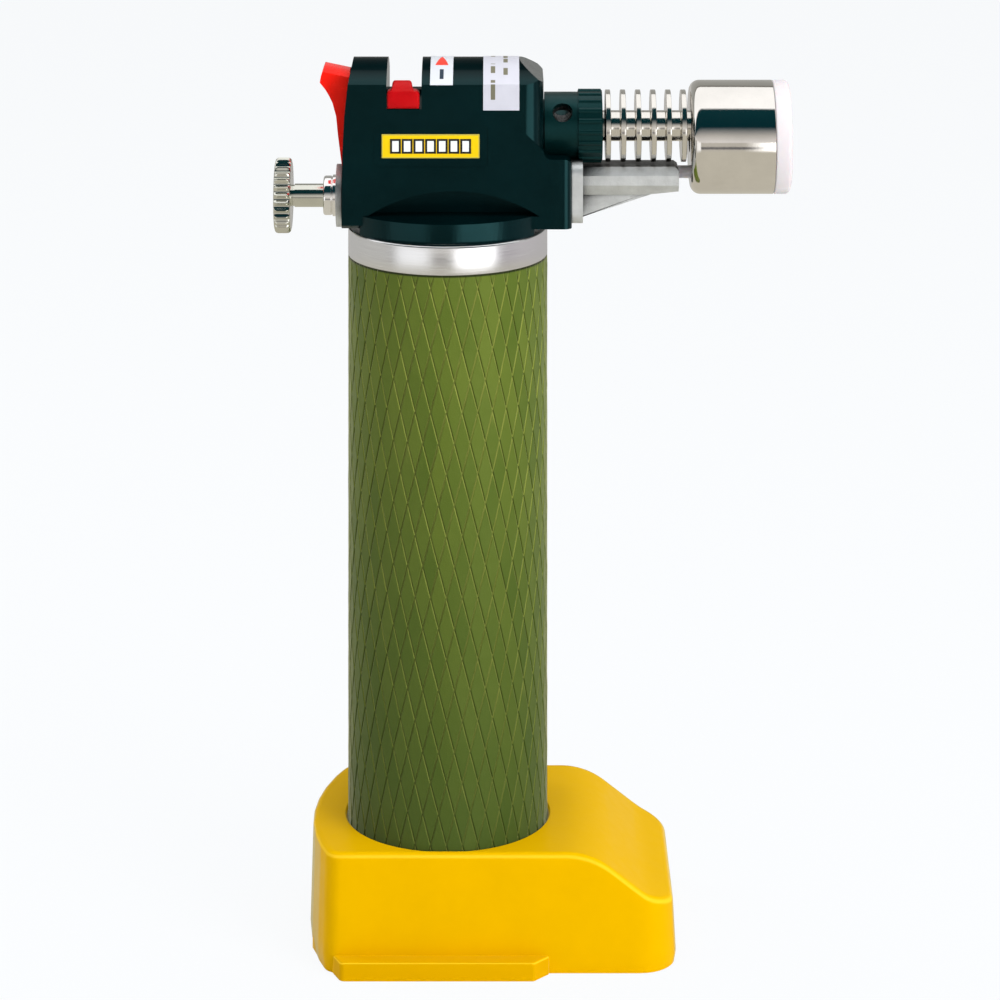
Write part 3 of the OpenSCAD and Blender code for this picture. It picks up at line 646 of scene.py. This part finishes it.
def stand_mesh():
    """The stand as rings round the socket's axis, from the foot up over the deck and down inside."""
    bm = bmesh.new()
    steps = 288
    angles = [2 * math.pi * k / steps for k in range(steps)]

    def ring(reach, height):
        """reach(angle) and height(x, y) place one ring of points."""
        made = []
        for a in angles:
            r = reach(a)
            x, y = r * math.cos(a), r * math.sin(a)
            made.append(bm.verts.new((x, y, height(x, y))))
        return made

    def outline(inset):
        points = stand_outline(inset)
        reaches = {a: reach_of(points, a) for a in angles}
        return lambda a: reaches[a]

    def side_z(x, share):
        """Height of the outer wall, from 0 at its foot to 1 under the fillet."""
        return STAND_FOOT_EDGE + share * (deck_z(x) - STAND_FILLET - STAND_FOOT_EDGE)

    rings = [ring(outline(STAND_FOOT_EDGE), lambda x, y: 0.0)]
    for k in range(1, 9):
        rings.append(ring(outline(STAND_DRAFT * k / 8), lambda x, y, s=k / 8: side_z(x, s)))
    for k in range(1, 7):
        a = math.pi / 2 * k / 6
        side = outline(STAND_DRAFT + STAND_FILLET * (1 - math.cos(a)))
        rings.append(ring(side, lambda x, y, d=STAND_FILLET * (1 - math.sin(a)): deck_z(x) - d))
    rim = outline(STAND_DRAFT + STAND_FILLET)
    mouth = SOCKET_R + SOCKET_EDGE
    for k in range(1, 31):
        rings.append(ring(lambda a, s=k / 30: rim(a) + s * (mouth - rim(a)), lambda x, y: deck_z(x)))
    rings.append(ring(lambda a: SOCKET_R, lambda x, y: STAND_HI.z - SOCKET_EDGE))
    rings.append(ring(lambda a: SOCKET_R, lambda x, y: SOCKET_FLOOR))
    for low, high in zip(rings, rings[1:]):
        join_rings(bm, low, high)
    bm.faces.new(rings[-1])

    # underside: rim, inner wall, ceiling, then the cup that carries the socket
    cup_r = SOCKET_R + 1.4
    cup_z = SOCKET_FLOOR - STAND_WALL
    inner = outline(STAND_WALL)

    def cup(a):
        return min(cup_r, inner(a) - 0.4)

    def ceiling(x, y):
        near = math.hypot(x, y) < cup_r + 0.6
        return cup_z if near and abs(y) > 15 else max(deck_z(x) - STAND_WALL, cup_z)

    under = [rings[0], ring(inner, lambda x, y: 0.0)]
    under.append(ring(inner, lambda x, y: ceiling(x, y) - 0.8))
    under.append(ring(lambda a: inner(a) - 0.35, ceiling))
    for k in range(1, 9):

        def reach(a, s=k / 8):
            return (inner(a) - 0.35) + s * (cup(a) - inner(a) + 0.35)

        under.append(ring(reach, ceiling))
    under.append(ring(cup, lambda x, y: cup_z))
    for low, high in zip(under, under[1:]):
        join_rings(bm, low, high)
    bm.faces.new(under[-1])
    add_slabs(bm, cup_z)
    return bm


def add_slabs(bm, cup_z):
    """The step along the front and the ribs that cross under the socket."""
    lip = [
        (-24.4, -9.0, 0), (-25.3, -9.5, 0), (-24.1, -13.3, 6), (-19.4, STAND_LO.y, 1.2),
        (16.2, STAND_LO.y, 0.8), (19, STAND_FRONT_Y - 0.1, 0.6), (19, -18.9, 0), (-20, -18.9, 0),
    ]
    slab(bm, rounded(lip, closed=True), 0.02, LIP_H, 0.45)
    rib = 1.0
    x0, x1 = STAND_LO.x + 1.5, STAND_HI.x - 1.5
    slab(bm, [(x0, -rib), (x1, -rib), (x1, rib), (x0, rib)], 0, cup_z + 0.3, 0)
    for y0, y1 in ((STAND_FRONT_Y + 1.5, -rib - 0.01), (rib + 0.01, STAND_HI.y - 1.5)):
        slab(bm, [(-rib, y0), (rib, y0), (rib, y1), (-rib, y1)], 0, cup_z + 0.3, 0)


def slab(bm, outline, z0, z1, edge):
    """A plate between two heights, with a rounded upper edge."""
    mid = Vector((sum(x for x, y in outline), sum(y for x, y in outline))) / len(outline)
    levels = [(0, z0)]
    steps = 4 if edge else 0
    for k in range(steps + 1):
        a = math.pi / 2 * k / max(steps, 1)
        levels.append((edge * (1 - math.cos(a)), z1 - edge * (1 - math.sin(a))) if edge else (0, z1))
    rings = []
    for inset, z in levels:
        ring = []
        for x, y in outline:
            arm = Vector((x, y)) - mid
            ring.append(bm.verts.new((*(mid + arm * (1 - inset / max(arm.length, 1e-6))), z)))
        rings.append(ring)
    bm.faces.new(list(reversed(rings[0])))
    for low, high in zip(rings, rings[1:]):
        join_rings(bm, low, high)
    bm.faces.new(rings[-1])


# ---------------------------------------------------------------- grip sleeve

# The tank's wall stands between its cap, with a little room, and the grip.
TANK_WALL = 0.98
TANK_R = mm("tank_cap")[1].x + 0.04 + TANK_WALL

GROOVE_DEPTH = 0.22
# Half a groove's width, from its middle and from the foot of its wall, as shares of a diamond's width.
GROOVE_HALF = 0.06
GROOVE_WALL = 0.04
# Where the mesh has points across one diamond, from 0 to 1.
LAND = (0.0, 0.02, 0.055, 0.075, 0.12, 0.5, 0.88, 0.925, 0.945, 0.98)
# The grooves are left out this far below the band.
PLAIN_TOP = 0.7


def grip_mesh():
    """A tube cut by two crossing families of grooves into flat, slightly uneven diamonds."""
    lo, hi = mm("grip_sleeve")
    radius = hi.x
    rise = GROOVE_RISE * radius
    n = len(LAND)
    dice = random.Random(7)
    tilts = {}

    def groove(share):
        """Depth of the groove at a place across one diamond, from 1 on its floor to 0 on the land."""
        near = min(share, 1 - share)
        return max(0.0, min(1.0, (GROOVE_HALF - near) / GROOVE_WALL))

    def place(index):
        whole, part = divmod(index, n)
        return whole, LAND[part]

    def diamond(u, v, angle, z):
        """Radius of the flat face of the diamond in cell (u, v)."""
        key = (u % GROOVES, v % GROOVES, u - v)
        if key not in tilts:
            yaw = dice.uniform(-1, 1) * 0.013
            pitch_up = dice.uniform(-1, 1) * 0.006
            tilts[key] = (yaw, pitch_up, dice.uniform(-1, 0) * 0.03)
        yaw, pitch_up, sink = tilts[key]
        turn = angle - math.pi * (u + v + 1) / GROOVES
        middle_z = rise * (u - v) / 2
        across = radius * math.sin(turn)
        flat = radius * math.cos(math.pi / GROOVES * 0.6)
        return (flat + sink + across * yaw + (z - middle_z) * pitch_up) / math.cos(turn)

    bm = bmesh.new()
    around = 2 * GROOVES * n
    d0 = int(2 * (lo.z / rise - 1) * n)
    d1 = int(2 * (hi.z / rise + 1) * n)
    verts = {}

    def vert(d, s):
        key = (d, s % around)
        if key not in verts:
            (u, fu), (v, fv) = place((s + d) // 2), place((s - d) // 2)
            a = math.pi * (u + fu + v + fv) / GROOVES
            z = rise * (u + fu - v - fv) / 2
            depth = max(groove(fu), groove(fv)) if z < hi.z - PLAIN_TOP else 0.0
            # the groove's floor keeps to the tube, its upper wall belongs to the diamond
            skin = radius if depth > 0.6 else diamond(u, v, a, z)
            r = skin - GROOVE_DEPTH * depth
            verts[key] = bm.verts.new((r * math.cos(a), r * math.sin(a), z))
        return verts[key]

    for d in range(d0, d1):
        for s in range(d % 2, around, 2):
            bm.faces.new((vert(d, s), vert(d + 1, s + 1), vert(d, s + 2), vert(d - 1, s + 1)))
    cut(bm, (0, 0, lo.z), (0, 0, -1))
    cut(bm, (0, 0, hi.z), (0, 0, 1))
    inner_loops = []
    for z in (lo.z, hi.z):
        edges = [e for e in bm.edges if e.is_boundary and abs(e.verts[0].co.z - z) < 1e-3]
        # the grooves run out before the end
        for v in {v for e in edges for v in e.verts}:
            v.co.xy = v.co.xy.normalized() * (radius - 0.03)
        made = bmesh.ops.extrude_edge_only(bm, edges=edges)["geom"]
        for v in (g for g in made if isinstance(g, bmesh.types.BMVert)):
            v.co.xy = v.co.xy.normalized() * TANK_R
        inner_loops += [g for g in made if isinstance(g, bmesh.types.BMEdge) and g.is_boundary]
    bmesh.ops.bridge_loops(bm, edges=inner_loops)
    return bm


# ---------------------------------------------------------------- turned pieces


def tank_mesh():
    """The tank: a can with a dished foot round the fill valve and the bare band at its top."""
    lo, hi = mm("tank")
    band_z = mm("grip_sleeve")[1].z
    band_r, bore, valve_r = hi.x, TANK_R - TANK_WALL, 3.2
    dish_z, floor_z = lo.z + 2, lo.z + 3.6
    profile = [
        (valve_r, dish_z, 0), (TANK_R - 3.5, dish_z, 0.6), (TANK_R - 2.5, lo.z, 0.6),
        (TANK_R, lo.z, 0.8), (TANK_R, band_z, 0), (band_r, band_z, 0.15), (band_r, hi.z, 0.4),
        (bore, hi.z, 0.15), (bore, floor_z, 0.5), (valve_r, floor_z, 0),
    ]
    return lathe(rounded(profile, closed=True, steps=4), steps=192)


def along_x(node, profile, steps=144):
    """Turns a profile of (radius, place, rounding) whose places are counted from the node's low end."""
    lo, hi = mm(node)
    centre = (lo.x, 0, (lo.z + hi.z) / 2)
    return lathe(rounded(profile, closed=True, steps=5), centre, "X", steps)


def radius_and_length(node):
    """Outer radius and length of a piece that is turned along X."""
    lo, hi = mm(node)
    return (hi.z - lo.z) / 2, hi.x - lo.x


def shroud_mesh():
    """The flame tube: a cup with a rounded rear edge, hung on the burner."""
    r, length = radius_and_length("shroud")
    bore, wall = 2.95, 0.8
    return along_x("shroud", [
        (bore, 0, 0), (r, 0, 1.9), (r, length, 0.12), (r - wall, length, 0.1), (r - wall, 1, 0.8),
        (bore, 1, 0),
    ], 192)


def nozzle_ring_mesh():
    """The ceramic ring: a spigot inside the flame tube and a rounded lip in front of it."""
    r, length = radius_and_length("nozzle_ring")
    lip = mm("shroud")[1].x - mm("nozzle_ring")[0].x + 0.02
    spigot, bore = r - 0.82, r - 2.6
    return along_x("nozzle_ring", [
        (bore, 0, 0.3), (spigot, 0, 0.2), (spigot, lip, 0), (r, lip, 0.35), (r, length, 1.0),
        (bore, length, 0.9),
    ], 192)


def burner_mesh():
    """The burner tube: a spigot and a collar at its rear, then the row of cooling fins."""
    fin_r, length = radius_and_length("burner_tube")
    bore, core, spigot, collar = 2.1, 2.9, 3.48, 5
    fins, first_fin, pitch, thick = 6, 5.93, 2.88, 0.95
    profile = [
        (bore, 0, 0), (spigot, 0, 0.1), (spigot, 1.32, 0), (collar, 1.32, 0.15), (collar, 3.1, 0.2),
        (core, 3.1, 0.1),
    ]
    for k in range(fins):
        x = first_fin + pitch * k
        end = x + thick
        profile += [(core, x, 0.25), (fin_r, x, 0.12), (fin_r, end, 0.12), (core, end, 0.25)]
    profile += [(core, length, 0.1), (bore, length, 0)]
    return along_x("burner_tube", profile)


def spindle_mesh():
    """The regulator's spindle: knob seat, stem and needle."""
    return along_x("regulator_spindle", [
        (0.0, 0, 0), (2, 0, 0.2), (2, 2.8, 0), (2.2, 2.8, 0), (2.2, 12.1, 0.15), (1.5, 12.1, 0),
        (1.5, 17, 0.1), (0.5, 17.95, 0.1), (0.0, 17.95, 0),
    ], 96)


def collar_mesh():
    """The collar nut: two beads with a groove between them and a neck towards the head."""
    return along_x("collar_nut", [
        (2.25, 0, 0.15), (3.7, 0, 0.45), (3.7, 1.5, 0.1), (3.5, 1.65, 0.05), (3.9, 1.8, 0.1),
        (3.9, 2.5, 0.1), (3, 2.5, 0), (3, 3.5, 0.1), (2.25, 3.5, 0),
    ], 128)


def knob_mesh():
    """The gas knob: rounded flutes round the rim, a shallow dish in its outer face and a blind bore."""
    lo, hi = mm("gas_knob")
    r, length = radius_and_length("gas_knob")
    centre = Vector((lo.x, 0, (lo.z + hi.z) / 2))
    flutes, dish, bore, bore_depth = 30, 0.35, 2.02, 2.9
    bm = bmesh.new()
    steps = flutes * 12
    # (place from the outer face, radius, depth of the flutes) of the rounded rim
    rim = [(0.0, r - 0.75, 0.05), (0.12, r - 0.35, 0.3), (0.38, r - 0.1, 0.55), (0.75, r, 0.62)]
    levels = [(dish, 2.0, 0), (dish, 4.8, 0), (0.15, 5.2, 0), (0.0, 5.6, 0.0)] + rim
    levels += [(length - x, crown, depth) for x, crown, depth in reversed(rim)]
    levels += [(length, 3.2, 0), (length, bore, 0), (length - bore_depth, bore, 0)]
    rings = [[bm.verts.new(centre + Vector((dish, 0, 0)))]]
    for x, crown, depth in levels:
        ring = []
        for k in range(steps):
            a = 2 * math.pi * k / steps
            at = crown - depth * (0.5 - 0.5 * math.cos(a * flutes)) ** 0.7
            ring.append(bm.verts.new(centre + Vector((x, at * math.cos(a), at * math.sin(a)))))
        rings.append(ring)
    for low, high in zip(rings, rings[1:]):
        join_rings(bm, low, high)
    bm.faces.new(rings[-1])
    return bm


def slider_mesh():
    """The lock slider: a low rounded base under a grip that slopes to the front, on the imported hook."""
    lo, hi = mm("lock_slider")
    back, front, floor = lo.y + 3.4, lo.y + 0.2, hi.z - 4.95
    left, right, shoulder, brow = -11.3, -5.2, floor + 3.1, floor + 3.3
    outline = rounded([
        (left, floor, 0.35), (right, floor, 0.35), (right, shoulder, 1.1), (-6.5, brow, 0.5),
        (-6.75, hi.z, 0.8), (-10.25, hi.z, 0.8), (-10.5, brow, 0.5), (left, shoulder, 1.1),
    ], closed=True, steps=4)
    bm = cad_mesh("lock_slider")
    cut(bm, (0, 0, floor + 0.1), (0, 0, 1))
    middle = Vector((sum(x for x, z in outline), sum(z for x, z in outline))) / len(outline)
    rings = []
    # (place from front to back, how far the outline is drawn in, height that the grip is cut to)
    for y, inset, top in (
        (front, 0.45, brow - 0.25), (front + 0.12, 0.15, brow - 0.05), (front + 0.4, 0, brow + 0.15),
        (front + 1.4, 0, brow + 0.7), (back - 0.5, 0, hi.z - 0.1), (back - 0.15, 0.1, hi.z - 0.1),
        (back, 0.4, hi.z),
    ):
        ring = []
        for x, z in outline:
            arm = Vector((x, min(z, top))) - middle
            at = middle + arm * (1 - inset / arm.length)
            ring.append(bm.verts.new((at.x, y, at.y)))
        rings.append(ring)
    for near, far in zip(rings, rings[1:]):
        join_rings(bm, near, far)
    bm.faces.new(rings[0])
    bm.faces.new(rings[-1])
    return bm


# ---------------------------------------------------------------- build

burner_axis = (0, 0, (mm("burner_tube")[0].z + mm("burner_tube")[1].z) / 2)

# the stand's yellow gets painted light: a lighter top, painted highlights and a painted pale reflection
yellow = plastic(
    "stand_yellow", (0.72, 0.40, 0.0), 0.34, grain=0.004, dark=0.96, shine=0.03, tint=(1, 0.7, 0),
    light_paint=stand_painted_light,
)
teal_black = dict(grain=0.006, dark=0.7, tint=(0.3, 0.95, 1.0))
black = plastic("housing_black", (0.0004, 0.0060, 0.0070), 0.17, shine=0.3, dusty_top=0.02, **teal_black)
red_tint = (1, 0.3, 0.22)
red = plastic(
    "trigger_red", (0.90, 0.010, 0.004), 0.26, grain=0.006, dark=0.88, shine=0.4, tint=red_tint
)
slider_red = plastic(
    "slider_red", (0.51, 0.004, 0.007), 0.30, grain=0.012, dark=0.75, shine=0.2, tint=red_tint
)
sleeve_black = plastic("sleeve_black", (0.001, 0.012, 0.012), 0.34, shine=0.35, **teal_black)
igniter_black = plastic("igniter_black", (0.012, 0.012, 0.014), 0.45)
igniter_cap = plastic("igniter_cap", (0.62, 0.55, 0.40), 0.5)
lead_orange = plastic("lead_insulation", (0.60, 0.06, 0.01), 0.5)
rubber = plastic("seal_rubber", (0.010, 0.010, 0.010), 0.7, grain=0.02)
green = grip_rubber(GRIP_R, mm("grip_sleeve")[1].z)
aluminium = turned_metal("tank_aluminium", (0.86, 0.86, 0.87), 0.16, (0, 0, 0), "Z")
nickel = metal("nickel_plate", (0.84, 0.81, 0.77), 0.04, grain=0.003, smear=0.05)
fin_nickel = turned_metal("fin_nickel", (0.84, 0.81, 0.76), 0.08, burner_axis, "X", 0.004)
knob_nickel = metal("knob_nickel", (0.70, 0.70, 0.63), 0.07, grain=0.004, smear=0.08)
collar_nickel = metal("collar_nickel", (0.93, 0.92, 0.91), 0.06, grain=0.004, smear=0.06)
zinc = cast_metal("zinc_cast", (0.70, 0.72, 0.72))
brass = metal("brass", (0.72, 0.50, 0.19), 0.18)
copper = metal("copper", (0.72, 0.36, 0.20), 0.2)
steel = metal("steel", (0.62, 0.62, 0.63), 0.22)
dark_steel = metal("screw_steel", (0.14, 0.14, 0.15), 0.3)
hot_steel = metal("burner_steel", (0.42, 0.36, 0.29), 0.35, tint=(0.30, 0.24, 0.26))
white_ceramic = ceramic("ceramic", (0.66, 0.62, 0.635))

stand = piece("stand_shell", stand_mesh(), yellow, "stand", angle=30)
# too far below the bright metal to show in it
stand.visible_glossy = False
piece("grip_tube", grip_mesh(), green, "grip_sleeve", angle=60)
piece("tank_can", tank_mesh(), aluminium, "tank")
piece("shroud_shell", shroud_mesh(), nickel, "shroud")
piece("nozzle_lip", nozzle_ring_mesh(), white_ceramic, "nozzle_ring")
piece("burner_fins", burner_mesh(), fin_nickel, "burner_tube")
piece("spindle_rod", spindle_mesh(), knob_nickel, "regulator_spindle")
piece("collar", collar_mesh(), collar_nickel, "collar_nut")
piece("knob_wheel", knob_mesh(), knob_nickel, "gas_knob", angle=50)
piece("slider_grip", slider_mesh(), slider_red, "lock_slider", angle=50)

# node: (material, rounding of its edges)
SOFTENED = {
    "housing_front": (black, 0.35),
    "housing_rear": (black, 0.15),
    "chassis": (zinc, 0.3),
    "trigger": (red, 0.4),
    "air_sleeve": (sleeve_black, 0.2),
    "flame_holder": (hot_steel, 0.15),
    "housing_screws": (dark_steel, 0.12),
    "name_plate": (film("name_plate", paint_plate), 0.06),
    "chassis_screws": (steel, 0.1),
}
for node, (material, width) in SOFTENED.items():
    from_cad(node, material, width, holed=node == "housing_rear")

# spring: (joint that presses it, height of the end that stays, share of its length that is left)
SPRINGS = {
    "gas_valve_spring": ("gas_valve_press", 122.45, 0.78),
    "fill_valve_spring": ("fill_valve_press", 18.55, 0.46),
}
for node, (joint, fixed_z, left) in SPRINGS.items():
    spring = from_cad(node, steel, 0)
    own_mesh(spring)

AS_PACKED = {
    "tank_cap": zinc,
    "tank_seal": rubber,
    "fill_valve_body": brass,
    "fill_valve_gasket": rubber,
    "fill_valve_stem": brass,
    "gas_valve_body": brass,
    "gas_valve_gasket": rubber,
    "gas_valve_stem": brass,
    "gas_filter": felt("filter_felt", (0.55, 0.47, 0.34)),
    "spindle_seal": rubber,
    "trigger_pin": steel,
    "piezo_body": igniter_black,
    "piezo_plunger": igniter_cap,
    "gas_tube": copper,
    "jet": brass,
    "electrode_insulator": white_ceramic,
    "electrode": steel,
    "ignition_lead": lead_orange,
    "lock_label": film("lock_label", paint_lock_label),
    "notice_label": film("notice_label", paint_notice),
}
for node, material in AS_PACKED.items():
    dress(node, material)

# ---------------------------------------------------------------- stage, light, camera


def ramp_node(tree, value, stops):
    """A colour ramp over value; stops are (place, colour)."""
    made = tree.nodes.new("ShaderNodeValToRGB")
    tree.links.new(value, made.inputs[0])
    elements = made.color_ramp.elements
    for element, (position, colour) in zip((elements[0], elements[1]), (stops[0], stops[-1])):
        element.position = position
        element.color = (*colour, 1)
    for position, colour in stops[1:-1]:
        elements.new(position).color = (*colour, 1)
    return made.outputs[0]


# What a reflected ray that goes down to the floor sees, by its turn from the camera's side:
# a white panel on the right, warm grey straight ahead and paler grey on the left.
FLOOR_VIEW = [
    (-180, (0.52, 0.51, 0.49)),
    (-74, (0.58, 0.57, 0.54)),
    (-66, (0.36, 0.35, 0.34)),
    (-58, (1.1, 1.1, 1.1)),
    (-24, (1.2, 1.2, 1.2)),
    (-14, (0.56, 0.53, 0.48)),
    (6, (0.56, 0.53, 0.48)),
    (14, (2.4, 2.4, 2.4)),
    (50, (2.6, 2.6, 2.6)),
    (60, (0.42, 0.39, 0.41)),
    (90, (0.58, 0.55, 0.56)),
    (180, (0.50, 0.49, 0.47)),
]
# Steeper down than the panels stand, every way round.
FLOOR_NEAR = (0.58, 0.55, 0.47)
# The camera's own dark strip, low and straight ahead.
CAMERA_DARK = (0.16, 0.155, 0.16)
CAMERA_STRIP = [(-22, (0, 0, 0)), (-14, (1, 1, 1)), (6, (1, 1, 1)), (12, (0, 0, 0))]
# How much of the floor, as the camera sees it, is its own pale glow.
GLOW = (0.968, 0.984, 1.0)
GLOW_SHARE = 0.93


def add_stage():
    """A plain pale floor. Reflections see the panels above instead of it."""
    bm = bmesh.new()
    bmesh.ops.create_grid(bm, x_segments=1, y_segments=1, size=6)
    mesh = bpy.data.meshes.new("floor")
    bm.to_mesh(mesh)
    bm.free()
    floor = bpy.data.objects.new("floor", mesh)
    floor.location = (0, 0, -0.00005)
    bpy.context.scene.collection.objects.link(floor)
    look = Look("floor_paper")
    rays = look.node("ShaderNodeLightPath")
    paper = look.mix(look.noise(3, 3), (0.80, 0.80, 0.80), (0.82, 0.82, 0.82))
    look.set(Base_Color=paper, Roughness=0.9, Specular_IOR_Level=0.0)
    back = look.node("ShaderNodeSeparateXYZ")
    look.feed(back.inputs[0], look.node("ShaderNodeNewGeometry").outputs["Incoming"])
    back_x, back_y, steep = back.outputs
    turn = look.calc("ARCTAN2", look.calc("MULTIPLY", back_x, -1.0), back_y)
    share = look.fit(turn, -math.pi, math.pi)

    def around(view):
        return ramp_node(look.tree, share, [((angle + 180) / 360, colour) for angle, colour in view])

    low = look.calc("MULTIPLY", look.fit(steep, 0.15, 0.19), look.fit(steep, 0.235, 0.275, 1, 0))
    in_strip = look.calc("MULTIPLY", around(CAMERA_STRIP), low)
    panels = look.mix(in_strip, around(FLOOR_VIEW), CAMERA_DARK)
    seen = look.mix(look.fit(steep, 0.26, 0.36), panels, FLOOR_NEAR)

    def shine(colour):
        emission = look.node("ShaderNodeEmission")
        look.feed(emission.inputs[0], colour)
        return emission.outputs[0]

    def blend(share, a, b):
        made = look.node("ShaderNodeMixShader")
        for socket, value in zip(made.inputs, (share, a, b)):
            look.feed(socket, value)
        return made.outputs[0]

    glowing = look.calc("MULTIPLY", rays.outputs["Is Camera Ray"], GLOW_SHARE)
    veiled = blend(glowing, look.shader.outputs[0], shine(GLOW))
    whole = blend(rays.outputs["Is Glossy Ray"], veiled, shine(seen))
    look.feed(look.tree.nodes["Material Output"].inputs["Surface"], whole)
    mesh.materials.append(look.material)


# What a reflected ray that goes up sees, by its angle from the camera's side (0) over the top (90)
# to the back (180), in degrees: dark room, white overhead panel, dark gap, grey backdrop.
SKY_VIEW = [
    (0, (0.80, 0.77, 0.75)),
    (12, (0.54, 0.52, 0.49)),
    (26, (0.10, 0.12, 0.13)),
    (30, (0.002, 0.026, 0.034)),
    (67, (0.004, 0.036, 0.044)),
    (71, (1.25, 1.25, 1.25)),
    (130, (1.2, 1.2, 1.2)),
    (133, (0.12, 0.11, 0.09)),
    (138, (0.34, 0.34, 0.32)),
    (180, (0.44, 0.44, 0.42)),
]
# Light that reaches the surfaces from all round.
FILL = (0.42, 0.43, 0.44)


def add_world():
    """Even fill for the surfaces; in reflections a studio with a white panel above and a dark side."""
    world = bpy.data.worlds.new("studio")
    bpy.context.scene.world = world
    world.use_nodes = True
    tree = world.node_tree
    nodes, links = tree.nodes, tree.links
    parts = nodes.new("ShaderNodeSeparateXYZ")
    links.new(nodes.new("ShaderNodeTexCoord").outputs["Generated"], parts.inputs[0])
    chain = parts.outputs[1]
    for operation, first in (("MULTIPLY", -1.0), ("ARCTAN2", None), ("DIVIDE", math.pi)):
        step = nodes.new("ShaderNodeMath")
        step.operation = operation
        if operation == "ARCTAN2":
            links.new(parts.outputs[2], step.inputs[0])
            links.new(chain, step.inputs[1])
        else:
            links.new(chain, step.inputs[0])
            step.inputs[1].default_value = first
        chain = step.outputs[0]
    mix = nodes.new("ShaderNodeMix")
    mix.data_type = "RGBA"
    links.new(nodes.new("ShaderNodeLightPath").outputs["Is Glossy Ray"], mix.inputs[0])
    mix.inputs[6].default_value = (*FILL, 1)
    sky = ramp_node(tree, chain, [(angle / 180, colour) for angle, colour in SKY_VIEW])
    links.new(sky, mix.inputs[7])
    links.new(mix.outputs[2], nodes["Background"].inputs[0])


def add_light(name, place, aim, size, power):
    """A soft box that lights the surfaces but doesn't show in reflections."""
    data = bpy.data.lights.new(name, "AREA")
    data.shape = "RECTANGLE"
    data.size, data.size_y = size
    data.energy = power
    lamp = bpy.data.objects.new(name, data)
    lamp.visible_glossy = False
    lamp.location = place
    lamp.rotation_euler = (Vector(aim) - Vector(place)).to_track_quat("-Z", "Y").to_euler()
    bpy.context.scene.collection.objects.link(lamp)


CAMERA_HOME = (0.00996, -0.655, 0.2795)
CAMERA_LENS = 123.5
CAMERA_SHIFT = -1.038


def add_camera():
    """
    A long lens held level and shifted down, as in a catalogue picture. Moved away from home, it has no
    shift.
    """
    data = bpy.data.cameras.new("camera")
    camera = bpy.data.objects.new("camera", data)
    bpy.context.scene.collection.objects.link(camera)
    bpy.context.scene.camera = camera
    camera.location = CAMERA_HOME
    camera.rotation_euler = (math.pi / 2, 0, 0)
    data.sensor_width = 36
    data.lens = CAMERA_LENS
    data.clip_start = 0.01
    driver = data.driver_add("shift_y").driver
    driver.type = "SCRIPTED"
    for name, channel in (("y", "LOC_Y"), ("z", "LOC_Z")):
        variable = driver.variables.new()
        variable.name = name
        variable.type = "TRANSFORMS"
        variable.targets[0].id = camera
        variable.targets[0].transform_type = channel
        variable.targets[0].transform_space = "WORLD_SPACE"
    _, home_y, home_z = CAMERA_HOME
    at_home = f"abs(y - ({home_y})) < 1e-4 and abs(z - {home_z}) < 1e-4"
    driver.expression = f"{CAMERA_SHIFT} if {at_home} else 0"


add_stage()
add_world()
middle = (0.0, 0.0, 0.09)
add_light("panel_right", (0.62, -0.66, 0.30), middle, (0.45, 0.7), 7)
add_light("overhead", (0.10, -0.15, 0.95), middle, (0.7, 0.7), 6)
add_light("rim_left", (-0.75, 0.30, 0.30), middle, (0.25, 0.7), 2.5)
add_camera()
bpy.context.scene.view_settings.view_transform = "Standard"
